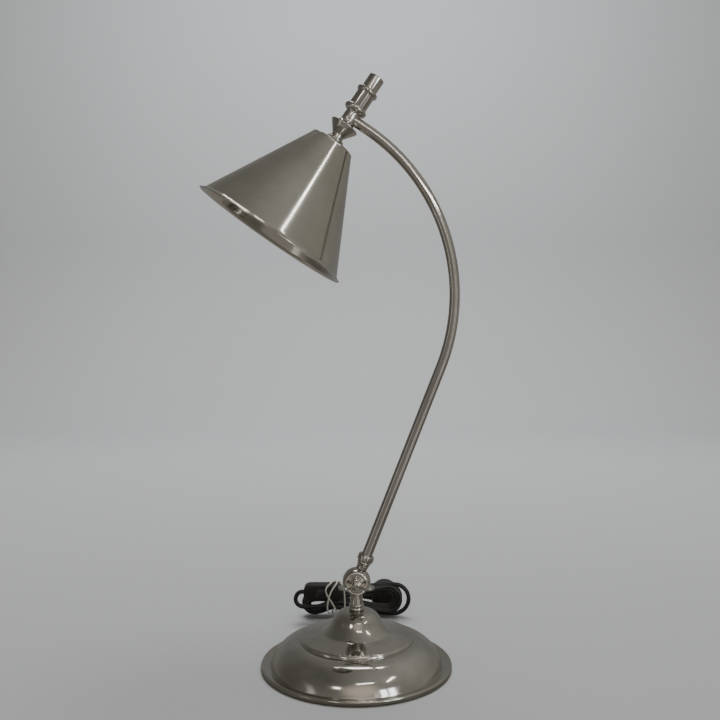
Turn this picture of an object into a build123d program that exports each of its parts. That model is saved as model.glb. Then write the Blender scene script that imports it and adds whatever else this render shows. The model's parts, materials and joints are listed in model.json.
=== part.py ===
from build123d import *
import math
import os

# Pharmacy table lamp, in millimetres. The origin is the middle of the base's underside, on the table,
# and +Z is up. The arm lies in the XZ plane, with the shade towards -X, and its hinge runs along Y.

# Fits
pin_play = 0.05  # radial play of a pin that turns in its bore
turn_gap = 0.35  # space between curved faces that swing past each other
slide_gap = 0.05  # space between flat faces that turn on each other
push_play = 0.1  # radial play of a piece that is slid in and held
overcut = 1.0  # how far a cut runs past the face that it opens

# Base cover, a spun shell
base_radius = 90.0
rim_clear = 0.6  # rim above the table
lip_height = 4.4
lip_round = 2.0
flange_width = 9.0  # rim to the foot of the dome
dome_height = 20.4
dome_bow = 5.3
step_radius = 54.4
step_height = 3.3
step_inset = 1.6
foot_radius = 32.6  # foot of the bell
platform_rise = 3.9
shoulder_radius = 22.0
shoulder_drop = 7.0
shoulder_bow = 1.87
bell_height = 20.0
bell_bow = -1.1
crown_radius = 9.5
cover_wall = 1.2

# Weight and felt in the base
felt_thick = 2.0
felt_gap = 1.0
weight_gap = 2.0  # weight to cover
hub_inset = 1.0  # of the pillar that carries the bell's crown, inside its flat
slot_width = 7.0  # way for the flex
slot_rise = 3.5

# Threaded rod with its washer and nut
rod_radius = 4.0
rod_bore = 2.5
rod_insert = 9.0  # how far it screws into the stem
rod_below_nut = 1.0
nut_width = 13.0  # across the flats
nut_height = 5.0
washer_radius = 11.0
washer_thick = 1.5
recess_play = 1.5  # round the washer
flex_room = 9.5  # below the nut

# Cord gland at the back of the base
gland_height = 12.0
gland_flange_radius = 6.5
gland_flange_thick = 2.5
gland_radius = 4.8
gland_tip_radius = 3.3
gland_reach = 19.0  # past the foot of the dome

# Stem and ball knuckle
stem_radius = 5.95
stem_length = 26.9  # crown of the bell to the middle of the ball
collar_radius = 7.15
collar_bow = 0.6
lower_collar = 3.0
collar_groove = 0.8
collar_groove_radius = 6.2
upper_collar = 2.2
ball_radius = 13.4
facet_depth = 8.3  # flat face in front of and behind the middle of the ball
friction_thick = 0.8
friction_inner = 9.2
friction_outer = 12.6
chamber_radius = 8.6
chamber_depth = 4.2
flex_offset = 2.3  # each half's wire way, from the middle of the ball
flex_way = 1.5  # radius of a wire way
flex_radius = 1.2
flex_bend = 4.0  # radius of the flex's small bends
flex_turn = 5.0  # radius of its bends in the base
flex_level_run = 12.0  # from the gland, before it drops
flex_drop_run = 24.0  # while it drops
wire_rise = 3.0  # room above the rod, where the flex moves aside

# Wing screw
screw_radius = 3.0
screw_depth = 7.4  # behind the middle of the ball
screw_end_gap = 0.2
wing_washer_radius = 6.8
wing_washer_thick = 1.2
wing_hub_radius = 6.4
wing_hub_top_radius = 5.0
wing_hub_height = 8.5
wing_span = 33.4
wing_lobe_radius = 5.6
wing_reach = 12.0  # lobe's middle, in front of the washer
wing_thick = 2.8

# Arm: a straight run, one long bend, and a short straight run into the head
arm_lean = 21.5  # degrees from upright
arm_straight = 219.0  # middle of the ball to the start of the bend
arm_bend = 189.0
arm_end = 20.1  # end of the bend to the head's axis
tube_radius = 5.0
tube_wall = 1.0
neck_radius = 5.2
neck_length = 14.0
socket_radius = 7.85
socket_bow = 0.8
socket_start = 20.4
socket_length = 6.2
socket_chamfer = 0.8
socket_seat = 19.5  # the tube's lower end
socket_bore = 3.9

# Head, turned on an axis square to the arm's end. Heights start at the arm's axis.
head_tilt = 34.1  # degrees from upright
tube_set_back = 0.6  # tube's end to the head's axis
groove_width = 2.7
groove_depth = 0.5
groove_lip = 0.65
waist_radius = 7.3
waist_half = 5.6
skirt_radius = 9.8
skirt_bow = -0.7
cup_drop = 9.0  # arm's axis to the cup's rim
bead_radius = 11.4
bead_start = 6.65
bead_height = 5.7
bead_root = 8.6
head_bore = 2.6
cavity_depth = 3.0
grub_radius = 1.25
grub_tip_gap = 0.1
spigot_radius = 4.0
spigot_length = 5.0
spigot_end_gap = 0.15
barrel_radius = 8.85
barrel_length = 14.55
finial_bead_radius = 10.7
finial_bead_height = 4.8
handle_radius = 7.8
handle_length = 14.3
handle_round = 0.8
cup_radius = 14.1
cup_height = 11.0
cup_foot_radius = 6.6
cup_lip = 0.9
cup_hollow = 1.6
collar_neck_radius = 6.2
collar_neck_length = 3.6
flange_radius = 8.65
flange_height = 3.8
flange_bow = 0.9
seat_radius = 7.6
seat_height = 1.9
nipple_radius = 4.0
nipple_bore = 2.5
nipple_insert = 3.3
nipple_tail = 5.0
head_flex_offset = 0.9

# Shade, a spun cone with a flared lip
shade_top_radius = 22.4
shade_corner = 2.0
shade_height = 102.6
shade_mouth_radius = 73.7
shade_lip_radius = 78.6
shade_lip_height = 3.8
shade_lip_bow = -0.7
shade_wall = 0.9
locknut_radius = 8.0
locknut_height = 3.0

# Lampholder and bulb
holder_radius = 13.0
holder_top_radius = 9.0
holder_cap_height = 10.0
holder_cap_roof = 6.0
holder_cap_wall = 1.6
holder_length = 26.0
holder_roof = 4.0
sleeve_radius = 8.0
sleeve_wall = 0.8
sleeve_length = 19.0
contact_radius = 3.0
contact_thick = 1.0
cap_radius = 6.9
cap_tip_radius = 2.5
cap_tip_height = 1.8
cap_cone_height = 2.2
cap_length = 21.0
bulb_length = 78.0
bulb_radius = 22.5
bulb_neck_radius = 9.5
bulb_neck_length = 9.0
bulb_root_radius = 6.4
bulb_wall = 0.8
bulb_shoulder_bow = 1.6

# In-line switch, with its long axis along X and its rocker to the front
switch_x = -37.4
switch_y = 119.5
switch_z = 33.4
switch_length = 43.0
switch_height = 18.0
switch_depth = 14.0
switch_wall = 1.5
switch_corner = 7.0
switch_round = 1.4
post_radius = 2.8
post_inset = 6.5
screw_shank = 1.4
screw_head = 2.4
screw_head_height = 1.2
screw_length = 10.0
rocker_length = 12.4
rocker_width = 7.8
rocker_play = 0.7
rocker_proud = 0.9
rocker_dip = 1.0  # of the middle of its face
rocker_heel = 4.6
rocker_heel_width = 4.2
rocker_tilt = 8.0  # degrees, at rest
pivot_radius = 1.0
pivot_depth = 2.7  # behind the switch's front face
contact_block = 5.0
contact_block_thick = 2.0
contact_pitch = 16.0

# Cord: a lead from the gland to the switch, then a hank of loops that stands on edge, then the plug
cord_radius = 2.3
hank_left = -62.0
hank_right = 57.7
hank_waist_x = -20.0
hank_waist_z = 22.0
hank_front = 131.0
hank_floor_gap = 0.1
left_half_height = 13.0
right_half_height = 18.5
waist_half_height = 10.2
loop_step = 5.7
layer_step = 5.1
layer_turns = 1.5
hank_layers = 4
hank_start = 0.375  # in turns, counted from the left end
hank_end = 5.125
spiral_lead = 0.25  # turns before the left end where the spiral starts
climb_turn = 0.5  # turns over which the cord climbs a layer
stations_per_turn = 8
arc_share = 0.45  # of the shorter run beside a corner, taken by its arc
tie_radius = 0.85
tie_gap = 0.35
tie_x = -26.0
tie_slant = 5.0
tie_round = 3.0
tie_drop = 2.0  # below the hank's waist, where its loops widen

# Round two-pin plug behind the hank, with its pins to the back
plug_x = 32.0
plug_y = 151.5
plug_radius = 16.0
plug_floor_gap = 0.3
plug_length = 24.0
plug_crown = 9.0
plug_crown_radius = 7.0
plug_crown_bow = 2.6
plug_edge = 1.5
boot_length = 14.0
boot_radius = 5.0
boot_tip_radius = 3.4
boot_height = 10.0
prong_radius = 2.4
prong_length = 19.0
prong_pitch = 19.0
prong_tip = 1.2  # height and inset of its rounded end

# Heights and radii in the base
crease_radius = base_radius - flange_width
flange_top = rim_clear + lip_height
step_foot = flange_top + dome_height
platform_edge = step_foot + step_height
bell_foot = platform_edge + platform_rise
bell_top = bell_foot + bell_height
hub_radius = crown_radius - cover_wall - hub_inset
weight_top = step_foot - cover_wall - weight_gap
nut_bottom = felt_thick + flex_room
washer_bottom = nut_bottom + nut_height
recess_top = washer_bottom + washer_thick
rod_bottom = nut_bottom - rod_below_nut
rod_top = bell_top + rod_insert
flex_low = felt_thick + flex_room / 2 - flex_radius / 2
ball_z = bell_top + stem_length
quarter_rise = 1 - math.sqrt(0.5)  # rise of a quarter circle over its chord, per radius


def arc_or_line(p, q, rise):
    # edge from p to q that rises to the right of its direction
    if rise == 0:
        return Line(p, q)
    run = math.dist(p, q)
    middle = (
        (p[0] + q[0]) / 2 + rise * (q[1] - p[1]) / run,
        (p[1] + q[1]) / 2 - rise * (q[0] - p[0]) / run,
    )
    return ThreePointArc(p, middle, q)


def turned(points, bows={}):
    # solid turned about Z; bows gives the rise of the edge that leaves a point
    edges = []
    for i, p in enumerate(points):
        q = points[(i + 1) % len(points)]
        edges.append(arc_or_line(p, q, bows.get(i, 0)))
    return revolve(Plane.XZ * make_face(edges), Axis.Z)


def rod(radius, low, high):
    return Pos(0, 0, (low + high) / 2) * Cylinder(radius, high - low)


def ring(outer, inner, low, high):
    return rod(outer, low, high) - rod(inner, low - overcut, high + overcut)


def slab(low, high, half):
    # everything between two planes across Y
    return Pos(0, (low + high) / 2, 0) * Box(2 * half, high - low, 2 * half)


def tube_along(path, radius, start, direction):
    return sweep(Plane(origin=start, z_dir=direction) * Circle(radius), path=path)


nodes = {}

# Base cover


def cover_form(inset, bottom):
    points = [
        (0, bottom),
        (base_radius - inset, bottom),
        (base_radius - inset, flange_top - lip_round),
        (base_radius - lip_round, flange_top - inset),
        (crease_radius - inset, flange_top - inset),
        (step_radius - inset, step_foot - inset),
        (step_radius - step_inset - inset, platform_edge - inset),
        (foot_radius - inset, bell_foot - inset),
        (shoulder_radius - inset, bell_top - shoulder_drop - inset),
        (crown_radius - inset, bell_top - inset),
        (0, bell_top - inset),
    ]
    bows = {
        2: (lip_round - inset) * quarter_rise,
        4: dome_bow,
        5: step_inset * quarter_rise,
        7: bell_bow,
        8: shoulder_bow,
    }
    return turned(points, bows)


gland_seat_low = gland_height + gland_flange_radius
dome_share = (gland_seat_low - flange_top) / dome_height
dome_inside = crease_radius + dome_share * (step_radius - crease_radius) - cover_wall
gland_front = dome_inside - push_play
gland_back = gland_front - gland_flange_thick
gland_tip = crease_radius + gland_reach
along_y = Rot(-90, 0, 0)  # turns +Z to +Y

rod_hole = rod(rod_radius + push_play, 0, rod_top)
gland_hole = Pos(0, 0, gland_height) * along_y * rod(gland_radius + push_play, gland_front, gland_tip)
base_shell = cover_form(0, rim_clear) - cover_form(cover_wall, rim_clear - overcut)
nodes["base_cover"] = base_shell - rod_hole - gland_hole

# Weight, felt and rod

weight_radius = crease_radius - cover_wall - weight_gap
weight = turned([
    (0, felt_thick),
    (weight_radius, felt_thick),
    (weight_radius, flange_top),
    (step_radius - cover_wall - weight_gap, weight_top),
    (hub_radius, weight_top),
    (hub_radius, bell_top - cover_wall),
    (0, bell_top - cover_wall),
])
slot_top = gland_height + slot_rise
weight -= rod(washer_radius + recess_play, 0, recess_top)
weight -= Pos(0, base_radius / 2, slot_top / 2) * Box(slot_width, base_radius, slot_top)
pocket_width = 2 * (gland_flange_radius + recess_play)
pocket_low = gland_height - gland_flange_radius - recess_play
pocket_high = gland_height + gland_flange_radius + recess_play
pocket = Box(pocket_width, base_radius, pocket_high - pocket_low)
weight -= Pos(0, gland_back + base_radius / 2, (pocket_low + pocket_high) / 2) * pocket
nodes["base_weight"] = weight - rod_hole
nodes["base_felt"] = rod(base_radius - cover_wall - felt_gap, 0, felt_thick)
nodes["base_rod"] = ring(rod_radius, rod_bore, rod_bottom, rod_top)
nodes["base_washer"] = ring(washer_radius, rod_radius + push_play, washer_bottom, recess_top)
nut_blank = extrude(RegularPolygon(nut_width / 2, 6, major_radius=False), nut_height)
nodes["base_nut"] = Pos(0, 0, nut_bottom) * nut_blank - rod_hole

gland = turned([
    (0, gland_back),
    (gland_flange_radius, gland_back),
    (gland_flange_radius, gland_front),
    (gland_radius, gland_front),
    (gland_radius, crease_radius),
    (gland_tip_radius, gland_tip),
    (0, gland_tip),
])
nodes["cord_gland"] = Pos(0, 0, gland_height) * along_y * gland

# Lower knuckle: stem with two collars and the front half of the ball

split = friction_thick / 2
ball_place = Pos(0, 0, ball_z)
collar_side = collar_radius - collar_bow
groove_low = bell_top + lower_collar
groove_high = groove_low + collar_groove
collar_top = groove_high + upper_collar
stem = turned(
    [
        (0, bell_top),
        (collar_side, bell_top),
        (collar_side, groove_low),
        (collar_groove_radius, groove_low),
        (collar_groove_radius, groove_high),
        (collar_side, groove_high),
        (collar_side, collar_top),
        (stem_radius, collar_top),
        (stem_radius, ball_z),
        (0, ball_z),
    ],
    {1: collar_bow, 5: collar_bow},
)
reach = 4 * ball_radius
clear_ball = Sphere(ball_radius + turn_gap)
front_half = Sphere(ball_radius) & slab(-facet_depth, -split, reach)
rear_half = Sphere(ball_radius) & slab(split, facet_depth, reach)
chamber = along_y * rod(chamber_radius, -chamber_depth, chamber_depth)
pin_hole = along_y * rod(screw_radius + pin_play, -reach, screw_depth + screw_end_gap)
wire_low = rod_top + wire_rise
lower = stem - ball_place * (clear_ball & slab(-split, reach, reach))
lower += ball_place * front_half
lower -= ball_place * (chamber & slab(-reach, -split, reach))
lower -= ball_place * pin_hole
lower -= rod(rod_radius + push_play, 0, wire_low)
lower -= Pos(0, -flex_offset, 0) * rod(flex_way, wire_low - overcut, ball_z - chamber_radius / 2)
nodes["lower_knuckle"] = lower
friction = along_y * ring(friction_outer, friction_inner, -split, split - slide_gap)
nodes["knuckle_washer"] = ball_place * friction
to_front = Rot(90, 0, 0)  # turns +Z to -Y
washer_front = facet_depth + wing_washer_thick
wing_washer = ring(wing_washer_radius, screw_radius + pin_play, facet_depth, washer_front)
nodes["wing_washer"] = ball_place * to_front * wing_washer

# Wing screw

hub_low = washer_front + slide_gap
hub_high = hub_low + wing_hub_height
hub = turned([
    (0, hub_low),
    (wing_hub_radius, hub_low),
    (wing_hub_top_radius, hub_high),
    (0, hub_high),
])
lobe_x = wing_span / 2 - wing_lobe_radius
lobe_y = hub_low + wing_reach
root_low = hub_low + wing_thick / 2
root_high = hub_high - wing_thick / 2
wing_run = math.dist((0, (root_low + root_high) / 2), (lobe_x, lobe_y))
side_x = wing_lobe_radius * (lobe_y - (root_low + root_high) / 2) / wing_run
side_y = wing_lobe_radius * lobe_x / wing_run
wing_sketch = Sketch() + Pos(lobe_x, lobe_y) * Circle(wing_lobe_radius)
wing_sketch += make_face(Polyline(
    (0, root_low),
    (lobe_x + side_x, lobe_y - side_y),
    (lobe_x - side_x, lobe_y + side_y),
    (0, root_high),
    close=True,
))
wing = extrude(Plane.XZ * wing_sketch, wing_thick / 2, both=True)
wing_screw = hub + wing + mirror(wing, Plane.YZ) + rod(screw_radius, -screw_depth, hub_high - wing_thick)
nodes["wing_screw"] = ball_place * to_front * wing_screw

# Upper knuckle: rear half of the ball, neck and socket, along the arm's lower run

socket_end = socket_start + socket_length
socket_side = socket_radius - socket_bow
socket_mouth = socket_end + socket_chamfer
neck = turned(
    [
        (0, ball_radius / 2),
        (neck_radius, ball_radius / 2),
        (neck_radius, neck_length),
        (socket_side - socket_bow, socket_start - socket_chamfer),
        (socket_side, socket_start),
        (socket_side, socket_end),
        (tube_radius + socket_chamfer, socket_mouth),
        (0, socket_mouth),
    ],
    {2: -socket_bow / 2, 4: socket_bow},
)
upper = neck - (clear_ball & slab(-reach, split, reach))
upper += rear_half
upper -= chamber & slab(split, reach, reach)
upper -= pin_hole
upper -= Pos(0, flex_offset, 0) * rod(flex_way, chamber_radius / 2, neck_length)
upper -= rod(socket_bore, neck_length, socket_seat)
upper -= rod(tube_radius + push_play, socket_seat, socket_mouth)
arm_place = ball_place * Rot(0, arm_lean, 0)
nodes["upper_knuckle"] = arm_place * upper

# Arm tube

lean = math.radians(arm_lean)
end_lean = math.radians(head_tilt - 90)
bend_x = arm_straight * math.sin(lean) - arm_bend * math.cos(lean)
bend_z = ball_z + arm_straight * math.cos(lean) + arm_bend * math.sin(lean)


def arm_run(distance, side=0.0):
    return (distance * math.sin(lean), side, ball_z + distance * math.cos(lean))


def bend_point(angle):
    return (bend_x + arm_bend * math.cos(angle), 0, bend_z - arm_bend * math.sin(angle))


def end_run(distance):
    # point on the arm's last run, counted from the end of the bend
    x, y, z = bend_point(end_lean)
    return (x + distance * math.sin(end_lean), 0, z + distance * math.cos(end_lean))


bend_edge = ThreePointArc(bend_point(lean), bend_point((lean + end_lean) / 2), bend_point(end_lean))
arm_way = Vector(math.sin(lean), 0, math.cos(lean))
tube_path = Curve() + [
    Line(arm_run(socket_seat), arm_run(arm_straight)),
    bend_edge,
    Line(end_run(0), end_run(arm_end - tube_set_back)),
]
tube_face = Plane(origin=arm_run(socket_seat), z_dir=arm_way)
tube = sweep(tube_face * (Circle(tube_radius) - Circle(tube_radius - tube_wall)), path=tube_path)
head_x, _, head_z = end_run(arm_end)
head_place = Pos(head_x, 0, head_z) * Rot(0, head_tilt, 0)
along_x = Rot(0, 90, 0)  # turns +Z to +X
groove_start = tube_set_back + groove_lip
groove_end = groove_start + groove_width
groove = ring(2 * tube_radius, tube_radius - groove_depth, groove_start, groove_end)
nodes["arm_tube"] = tube - head_place * along_x * groove

# Head body, grub screw and handle

bead_top = bead_start + bead_height
bead_bow = bead_radius - bead_root
spigot_floor = bead_top - spigot_length - spigot_end_gap
body = turned(
    [
        (0, -cup_drop),
        (skirt_radius, -cup_drop),
        (waist_radius, -waist_half),
        (waist_radius, waist_half),
        (bead_root, bead_start),
        (bead_root, bead_top),
        (0, bead_top),
    ],
    {1: skirt_bow, 4: bead_bow},
)
body -= along_x * rod(tube_radius + pin_play, -cavity_depth, skirt_radius * 2)
body -= rod(head_bore, -cup_drop, 0)
body -= rod(nipple_radius + push_play, -cup_drop, nipple_insert - cup_drop)
body -= rod(spigot_radius + push_play, spigot_floor, bead_top)
grub_x = (groove_start + groove_end) / 2
grub_low = tube_radius - groove_depth + grub_tip_gap
body -= Pos(grub_x, 0, 0) * rod(grub_radius + push_play, 0, spigot_floor)
nodes["head_body"] = head_place * body
nodes["head_grub_screw"] = head_place * Pos(grub_x, 0, 0) * rod(grub_radius, grub_low, spigot_floor)

finial_low = bead_top + barrel_length
finial_high = finial_low + finial_bead_height
handle_top = finial_high + handle_length
finial_bow = finial_bead_radius - barrel_radius
handle = turned(
    [
        (0, bead_top - spigot_length),
        (spigot_radius, bead_top - spigot_length),
        (spigot_radius, bead_top),
        (barrel_radius, bead_top),
        (barrel_radius, finial_low),
        (barrel_radius, finial_high),
        (handle_radius, finial_high),
        (handle_radius, handle_top - handle_round),
        (handle_radius - handle_round, handle_top),
        (0, handle_top),
    ],
    {4: finial_bow, 7: handle_round * quarter_rise},
)
nodes["head_handle"] = head_place * handle

# Cup, collar and nipple below the head body

cup_foot = -cup_drop - cup_height
collar_flange = cup_foot - collar_neck_length
collar_seat = collar_flange - flange_height
shade_top = collar_seat - seat_height
cup = turned([
    (0, cup_foot),
    (cup_foot_radius, cup_foot),
    (cup_radius, -cup_drop - cup_lip),
    (cup_radius, -cup_drop),
    (cup_radius - cup_lip, -cup_drop),
    (skirt_radius + cup_lip, -cup_drop - cup_hollow),
    (skirt_radius, -cup_drop),
    (0, -cup_drop),
])
nipple_hole = rod(nipple_radius + push_play, shade_top - shade_wall - overcut, -cup_drop)
nodes["head_cup"] = head_place * (cup - nipple_hole)
collar = turned(
    [
        (0, shade_top),
        (seat_radius, shade_top),
        (seat_radius, collar_seat),
        (flange_radius - flange_bow, collar_seat),
        (flange_radius - flange_bow, collar_flange),
        (collar_neck_radius, collar_flange),
        (collar_neck_radius, cup_foot),
        (0, cup_foot),
    ],
    {3: flange_bow},
)
nodes["shade_collar"] = head_place * (collar - nipple_hole)
locknut_top = shade_top - shade_wall
holder_top = locknut_top - locknut_height
nipple_end = holder_top - nipple_tail
nodes["shade_nipple"] = head_place * ring(nipple_radius, nipple_bore, nipple_end, nipple_insert - cup_drop)

# Shade and its locknut

cone_foot = shade_top - shade_height
mouth = cone_foot - shade_lip_height
slope = math.atan2(shade_mouth_radius - shade_top_radius, shade_height)
wall_across = shade_wall / math.cos(slope)
shade = turned(
    [
        (0, shade_top - shade_wall),
        (shade_top_radius - shade_corner, shade_top - shade_wall),
        (shade_top_radius - wall_across, shade_top - shade_corner),
        (shade_mouth_radius - wall_across, cone_foot),
        (shade_lip_radius - shade_wall, mouth),
        (shade_lip_radius, mouth),
        (shade_lip_radius, mouth + shade_wall),
        (shade_mouth_radius, cone_foot + shade_wall),
        (shade_top_radius, shade_top - shade_corner),
        (shade_top_radius - shade_corner, shade_top),
        (0, shade_top),
    ],
    {
        1: -(shade_corner - shade_wall) * quarter_rise,
        3: -shade_lip_bow,
        6: shade_lip_bow,
        8: shade_corner * quarter_rise,
    },
)
nodes["shade"] = head_place * (shade - nipple_hole)
locknut = ring(locknut_radius, nipple_radius + push_play, holder_top, locknut_top)
nodes["shade_locknut"] = head_place * locknut

# Lampholder

holder_joint = holder_top - holder_cap_height
holder_mouth = holder_joint - holder_length
socket_roof = holder_joint - holder_roof
cap_room = holder_radius - holder_cap_wall
holder_cap = turned([
    (0, holder_joint),
    (holder_radius, holder_joint),
    (holder_radius, holder_top - holder_cap_roof / 2),
    (holder_top_radius, holder_top),
    (0, holder_top),
])
holder_cap -= rod(cap_room, holder_joint, holder_top - holder_cap_roof)
holder_cap -= rod(nipple_radius + push_play, holder_joint, holder_top)
nodes["lampholder_cap"] = head_place * holder_cap
holder = rod(holder_radius, holder_mouth, holder_joint)
holder -= rod(sleeve_radius + push_play, holder_mouth, socket_roof)
nodes["lampholder_body"] = head_place * holder
sleeve = ring(sleeve_radius, sleeve_radius - sleeve_wall, socket_roof - sleeve_length, socket_roof)
nodes["lampholder_sleeve"] = head_place * sleeve
bulb_tip = socket_roof - contact_thick
nodes["lampholder_contact"] = head_place * rod(contact_radius, bulb_tip, socket_roof)

# Bulb

cap_foot = bulb_tip - cap_length
bulb_cap = turned([
    (0, cap_foot),
    (cap_radius, cap_foot),
    (cap_radius, bulb_tip - cap_tip_height - cap_cone_height),
    (cap_tip_radius, bulb_tip - cap_tip_height),
    (cap_tip_radius, bulb_tip),
    (0, bulb_tip),
])
nodes["bulb_cap"] = head_place * bulb_cap


def bulb_form(inset, top):
    low = bulb_tip - bulb_length + inset
    middle = bulb_tip - bulb_length + bulb_radius
    radius = bulb_radius - inset
    neck_radius_here = bulb_neck_radius - inset
    neck_z = cap_foot - bulb_neck_length
    return turned(
        [
            (0, low),
            (radius, middle),
            (neck_radius_here, neck_z),
            (bulb_root_radius - inset, top),
            (0, top),
        ],
        {0: radius * quarter_rise, 1: bulb_shoulder_bow},
    )


nodes["bulb_glass"] = head_place * (bulb_form(0, cap_foot) - bulb_form(bulb_wall, cap_foot + overcut))

# Inner flex, in three runs that end at the joints

jog_low = rod_top - 2 * flex_radius
flex_points = [
    (0, gland_back, gland_height),
    (0, gland_back - flex_level_run, gland_height),
    (0, gland_back - flex_level_run - flex_drop_run, flex_low),
    (0, 0, flex_low),
    (0, 0, jog_low),
    (0, -flex_offset, wire_low),
    (0, -flex_offset, ball_z - screw_radius - flex_radius),
]
stem_flex_path = FilletPolyline(*flex_points, radius=[flex_turn, flex_turn, flex_turn, flex_bend, flex_bend])
nodes["stem_flex"] = tube_along(stem_flex_path, flex_radius, flex_points[0], (0, -1, 0))

arm_flex_points = [
    arm_run(screw_radius + flex_radius, flex_offset),
    arm_run(neck_length, flex_offset),
    arm_run(socket_seat - flex_radius, 0),
    arm_run(arm_straight, 0),
]
arm_flex_path = Curve() + [
    FilletPolyline(*arm_flex_points, radius=flex_bend),
    bend_edge,
    Line(end_run(0), end_run(arm_end - tube_set_back - 2 * flex_radius)),
]
nodes["arm_flex"] = tube_along(arm_flex_path, flex_radius, arm_flex_points[0], arm_way)
head_flex = Pos(-head_flex_offset, 0, 0) * rod(flex_radius, holder_joint, 0)
nodes["head_flex"] = head_place * head_flex

# In-line switch

switch_place = Pos(switch_x, switch_y, switch_z)
half_depth = switch_depth / 2
post_x = switch_length / 2 - post_inset
window_x = rocker_length / 2 + rocker_play
window_z = rocker_width / 2 + rocker_play / 2


def switch_block(length, height, corner, low, high):
    # rounded block between two planes across Y
    face = Plane.XZ * RectangleRounded(length, height, corner)
    return Pos(0, high, 0) * extrude(face, high - low)


def switch_half(low, high, outer_face):
    # low and high are the half's planes; outer_face is the one that shows
    shell = switch_block(switch_length, switch_height, switch_corner, low, high)
    face = shell.faces().sort_by(Axis.Y)[0 if outer_face == low else -1]
    shell = fillet(face.edges(), switch_round)
    inside_low = low + switch_wall if outer_face == low else low
    inside_high = high if outer_face == low else high - switch_wall
    inside = switch_block(
        switch_length - 2 * switch_wall,
        switch_height - 2 * switch_wall,
        switch_corner - switch_wall,
        inside_low,
        inside_high,
    )
    posts = [Pos(side * post_x, 0, 0) * along_y * rod(post_radius, low, high) for side in (-1, 1)]
    return shell - (inside - posts)


screw_tip = half_depth - screw_length
screw_holes = [Pos(side * post_x, 0, 0) * along_y for side in (-1, 1)]
cover = switch_half(-half_depth, 0, -half_depth)
window = Box(2 * window_x, switch_wall * 2, 2 * window_z)
cover -= Pos(0, -half_depth + switch_wall / 2, 0) * window
cover -= [place * rod(screw_shank + push_play, screw_tip - screw_end_gap, 0) for place in screw_holes]
nodes["switch_cover"] = switch_place * cover
back = switch_half(0, half_depth, half_depth)
head_seat = half_depth - screw_head_height
back -= [place * rod(screw_shank + push_play, 0, half_depth) for place in screw_holes]
back -= [place * rod(screw_head + push_play, head_seat, half_depth) for place in screw_holes]
nodes["switch_base"] = switch_place * back
switch_screw = rod(screw_shank, screw_tip, half_depth) + rod(screw_head, head_seat, half_depth)
nodes["switch_screws"] = switch_place * Compound(children=[place * switch_screw for place in screw_holes])

pivot_y = -half_depth + pivot_depth
face_y = -half_depth - rocker_proud
half_rocker = rocker_length / 2
rocker_sketch = make_face(Polyline(
    (-half_rocker, face_y),
    (0, face_y + rocker_dip),
    (half_rocker, face_y),
    (half_rocker, pivot_y),
    (rocker_heel_width / 2, face_y + rocker_dip + rocker_heel),
    (-rocker_heel_width / 2, face_y + rocker_dip + rocker_heel),
    (-half_rocker, pivot_y),
    close=True,
))
rocker = extrude(rocker_sketch, rocker_width / 2, both=True)
rocker -= Pos(0, pivot_y, 0) * rod(pivot_radius + pin_play, -rocker_width, rocker_width)
rocker_place = Pos(0, pivot_y, 0) * Rot(0, 0, rocker_tilt) * Pos(0, -pivot_y, 0)
nodes["switch_rocker"] = switch_place * rocker_place * rocker
pivot_half = switch_height / 2 - switch_wall
nodes["switch_pivot"] = switch_place * Pos(0, pivot_y, 0) * rod(pivot_radius, -pivot_half, pivot_half)
block_y = half_depth - switch_wall - contact_block_thick / 2
block = Box(contact_block, contact_block_thick, contact_block)
blocks = [Pos(side * contact_pitch / 2, block_y, 0) * block for side in (-1, 1)]
nodes["switch_contacts"] = switch_place * Compound(children=blocks)

# Cord lead: points chosen by hand between the gland's tip and the switch's left end

switch_left = switch_x - switch_length / 2
switch_right = switch_x + switch_length / 2
lead_points = [
    (0, gland_tip, gland_height),
    (0, gland_tip + 7, gland_height),
    (-2.9, gland_tip + 13.8, 12.3),
    (-8.1, gland_tip + 19.0, 13.0),
    (-15, gland_tip + 21.8, 14.2),
    (-25.5, gland_tip + 22.1, 15.8),
    (-37.5, gland_tip + 21.2, 17.0),
    (-49.5, gland_tip + 20.2, 16.6),
    (-59.5, switch_y, 16.2),
    (-66.4, switch_y, 19.2),
    (-68.6, switch_y, 25.4),
    (-66.2, switch_y, 31.2),
    (-62.2, switch_y, switch_z),
    (switch_left, switch_y, switch_z),
]


def route_radii(points):
    # the largest arc that each corner's two runs allow
    radii = []
    for a, b, c in zip(points, points[1:], points[2:]):
        first = Vector(*b) - Vector(*a)
        second = Vector(*c) - Vector(*b)
        half_turn = math.radians(first.get_angle(second)) / 2
        radii.append(arc_share * min(first.length, second.length) / math.tan(half_turn))
    return radii


lead_radii = route_radii(lead_points)
lead_path = FilletPolyline(*lead_points, radius=lead_radii)
lead = tube_along(lead_path, cord_radius, lead_points[0], (0, 1, 0))
cord_section = math.pi * cord_radius**2
nodes["cord_lead"] = lead
print("lead radii", [round(r, 1) for r in lead_radii])
print("lead length", round(lead_path.length, 1))
print("lead volume over section times length", round(lead.volume / cord_section / lead_path.length, 4))

# Cord hank: loops that spiral in and out in layers, drawn in at a waist

left_z = left_half_height + cord_radius + hank_floor_gap
right_z = right_half_height + cord_radius + hank_floor_gap
plug_z = plug_radius + plug_floor_gap
boot_end = plug_x - plug_radius - boot_length


def loop_inset(turn):
    phase = (turn + spiral_lead) / layer_turns
    share = phase % 1
    inward = int(phase) % 2 == 0
    return layer_turns * loop_step * (share if inward else 1 - share)


def layer_y(turn):
    # each layer change is spread along the run through the waist
    y = hank_front
    for layer in range(1, hank_layers):
        start = layer * layer_turns - climb_turn
        share = min(max((turn - start) / climb_turn, 0), 1)
        y += layer_step * share * share * (3 - 2 * share)
    return y


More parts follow.
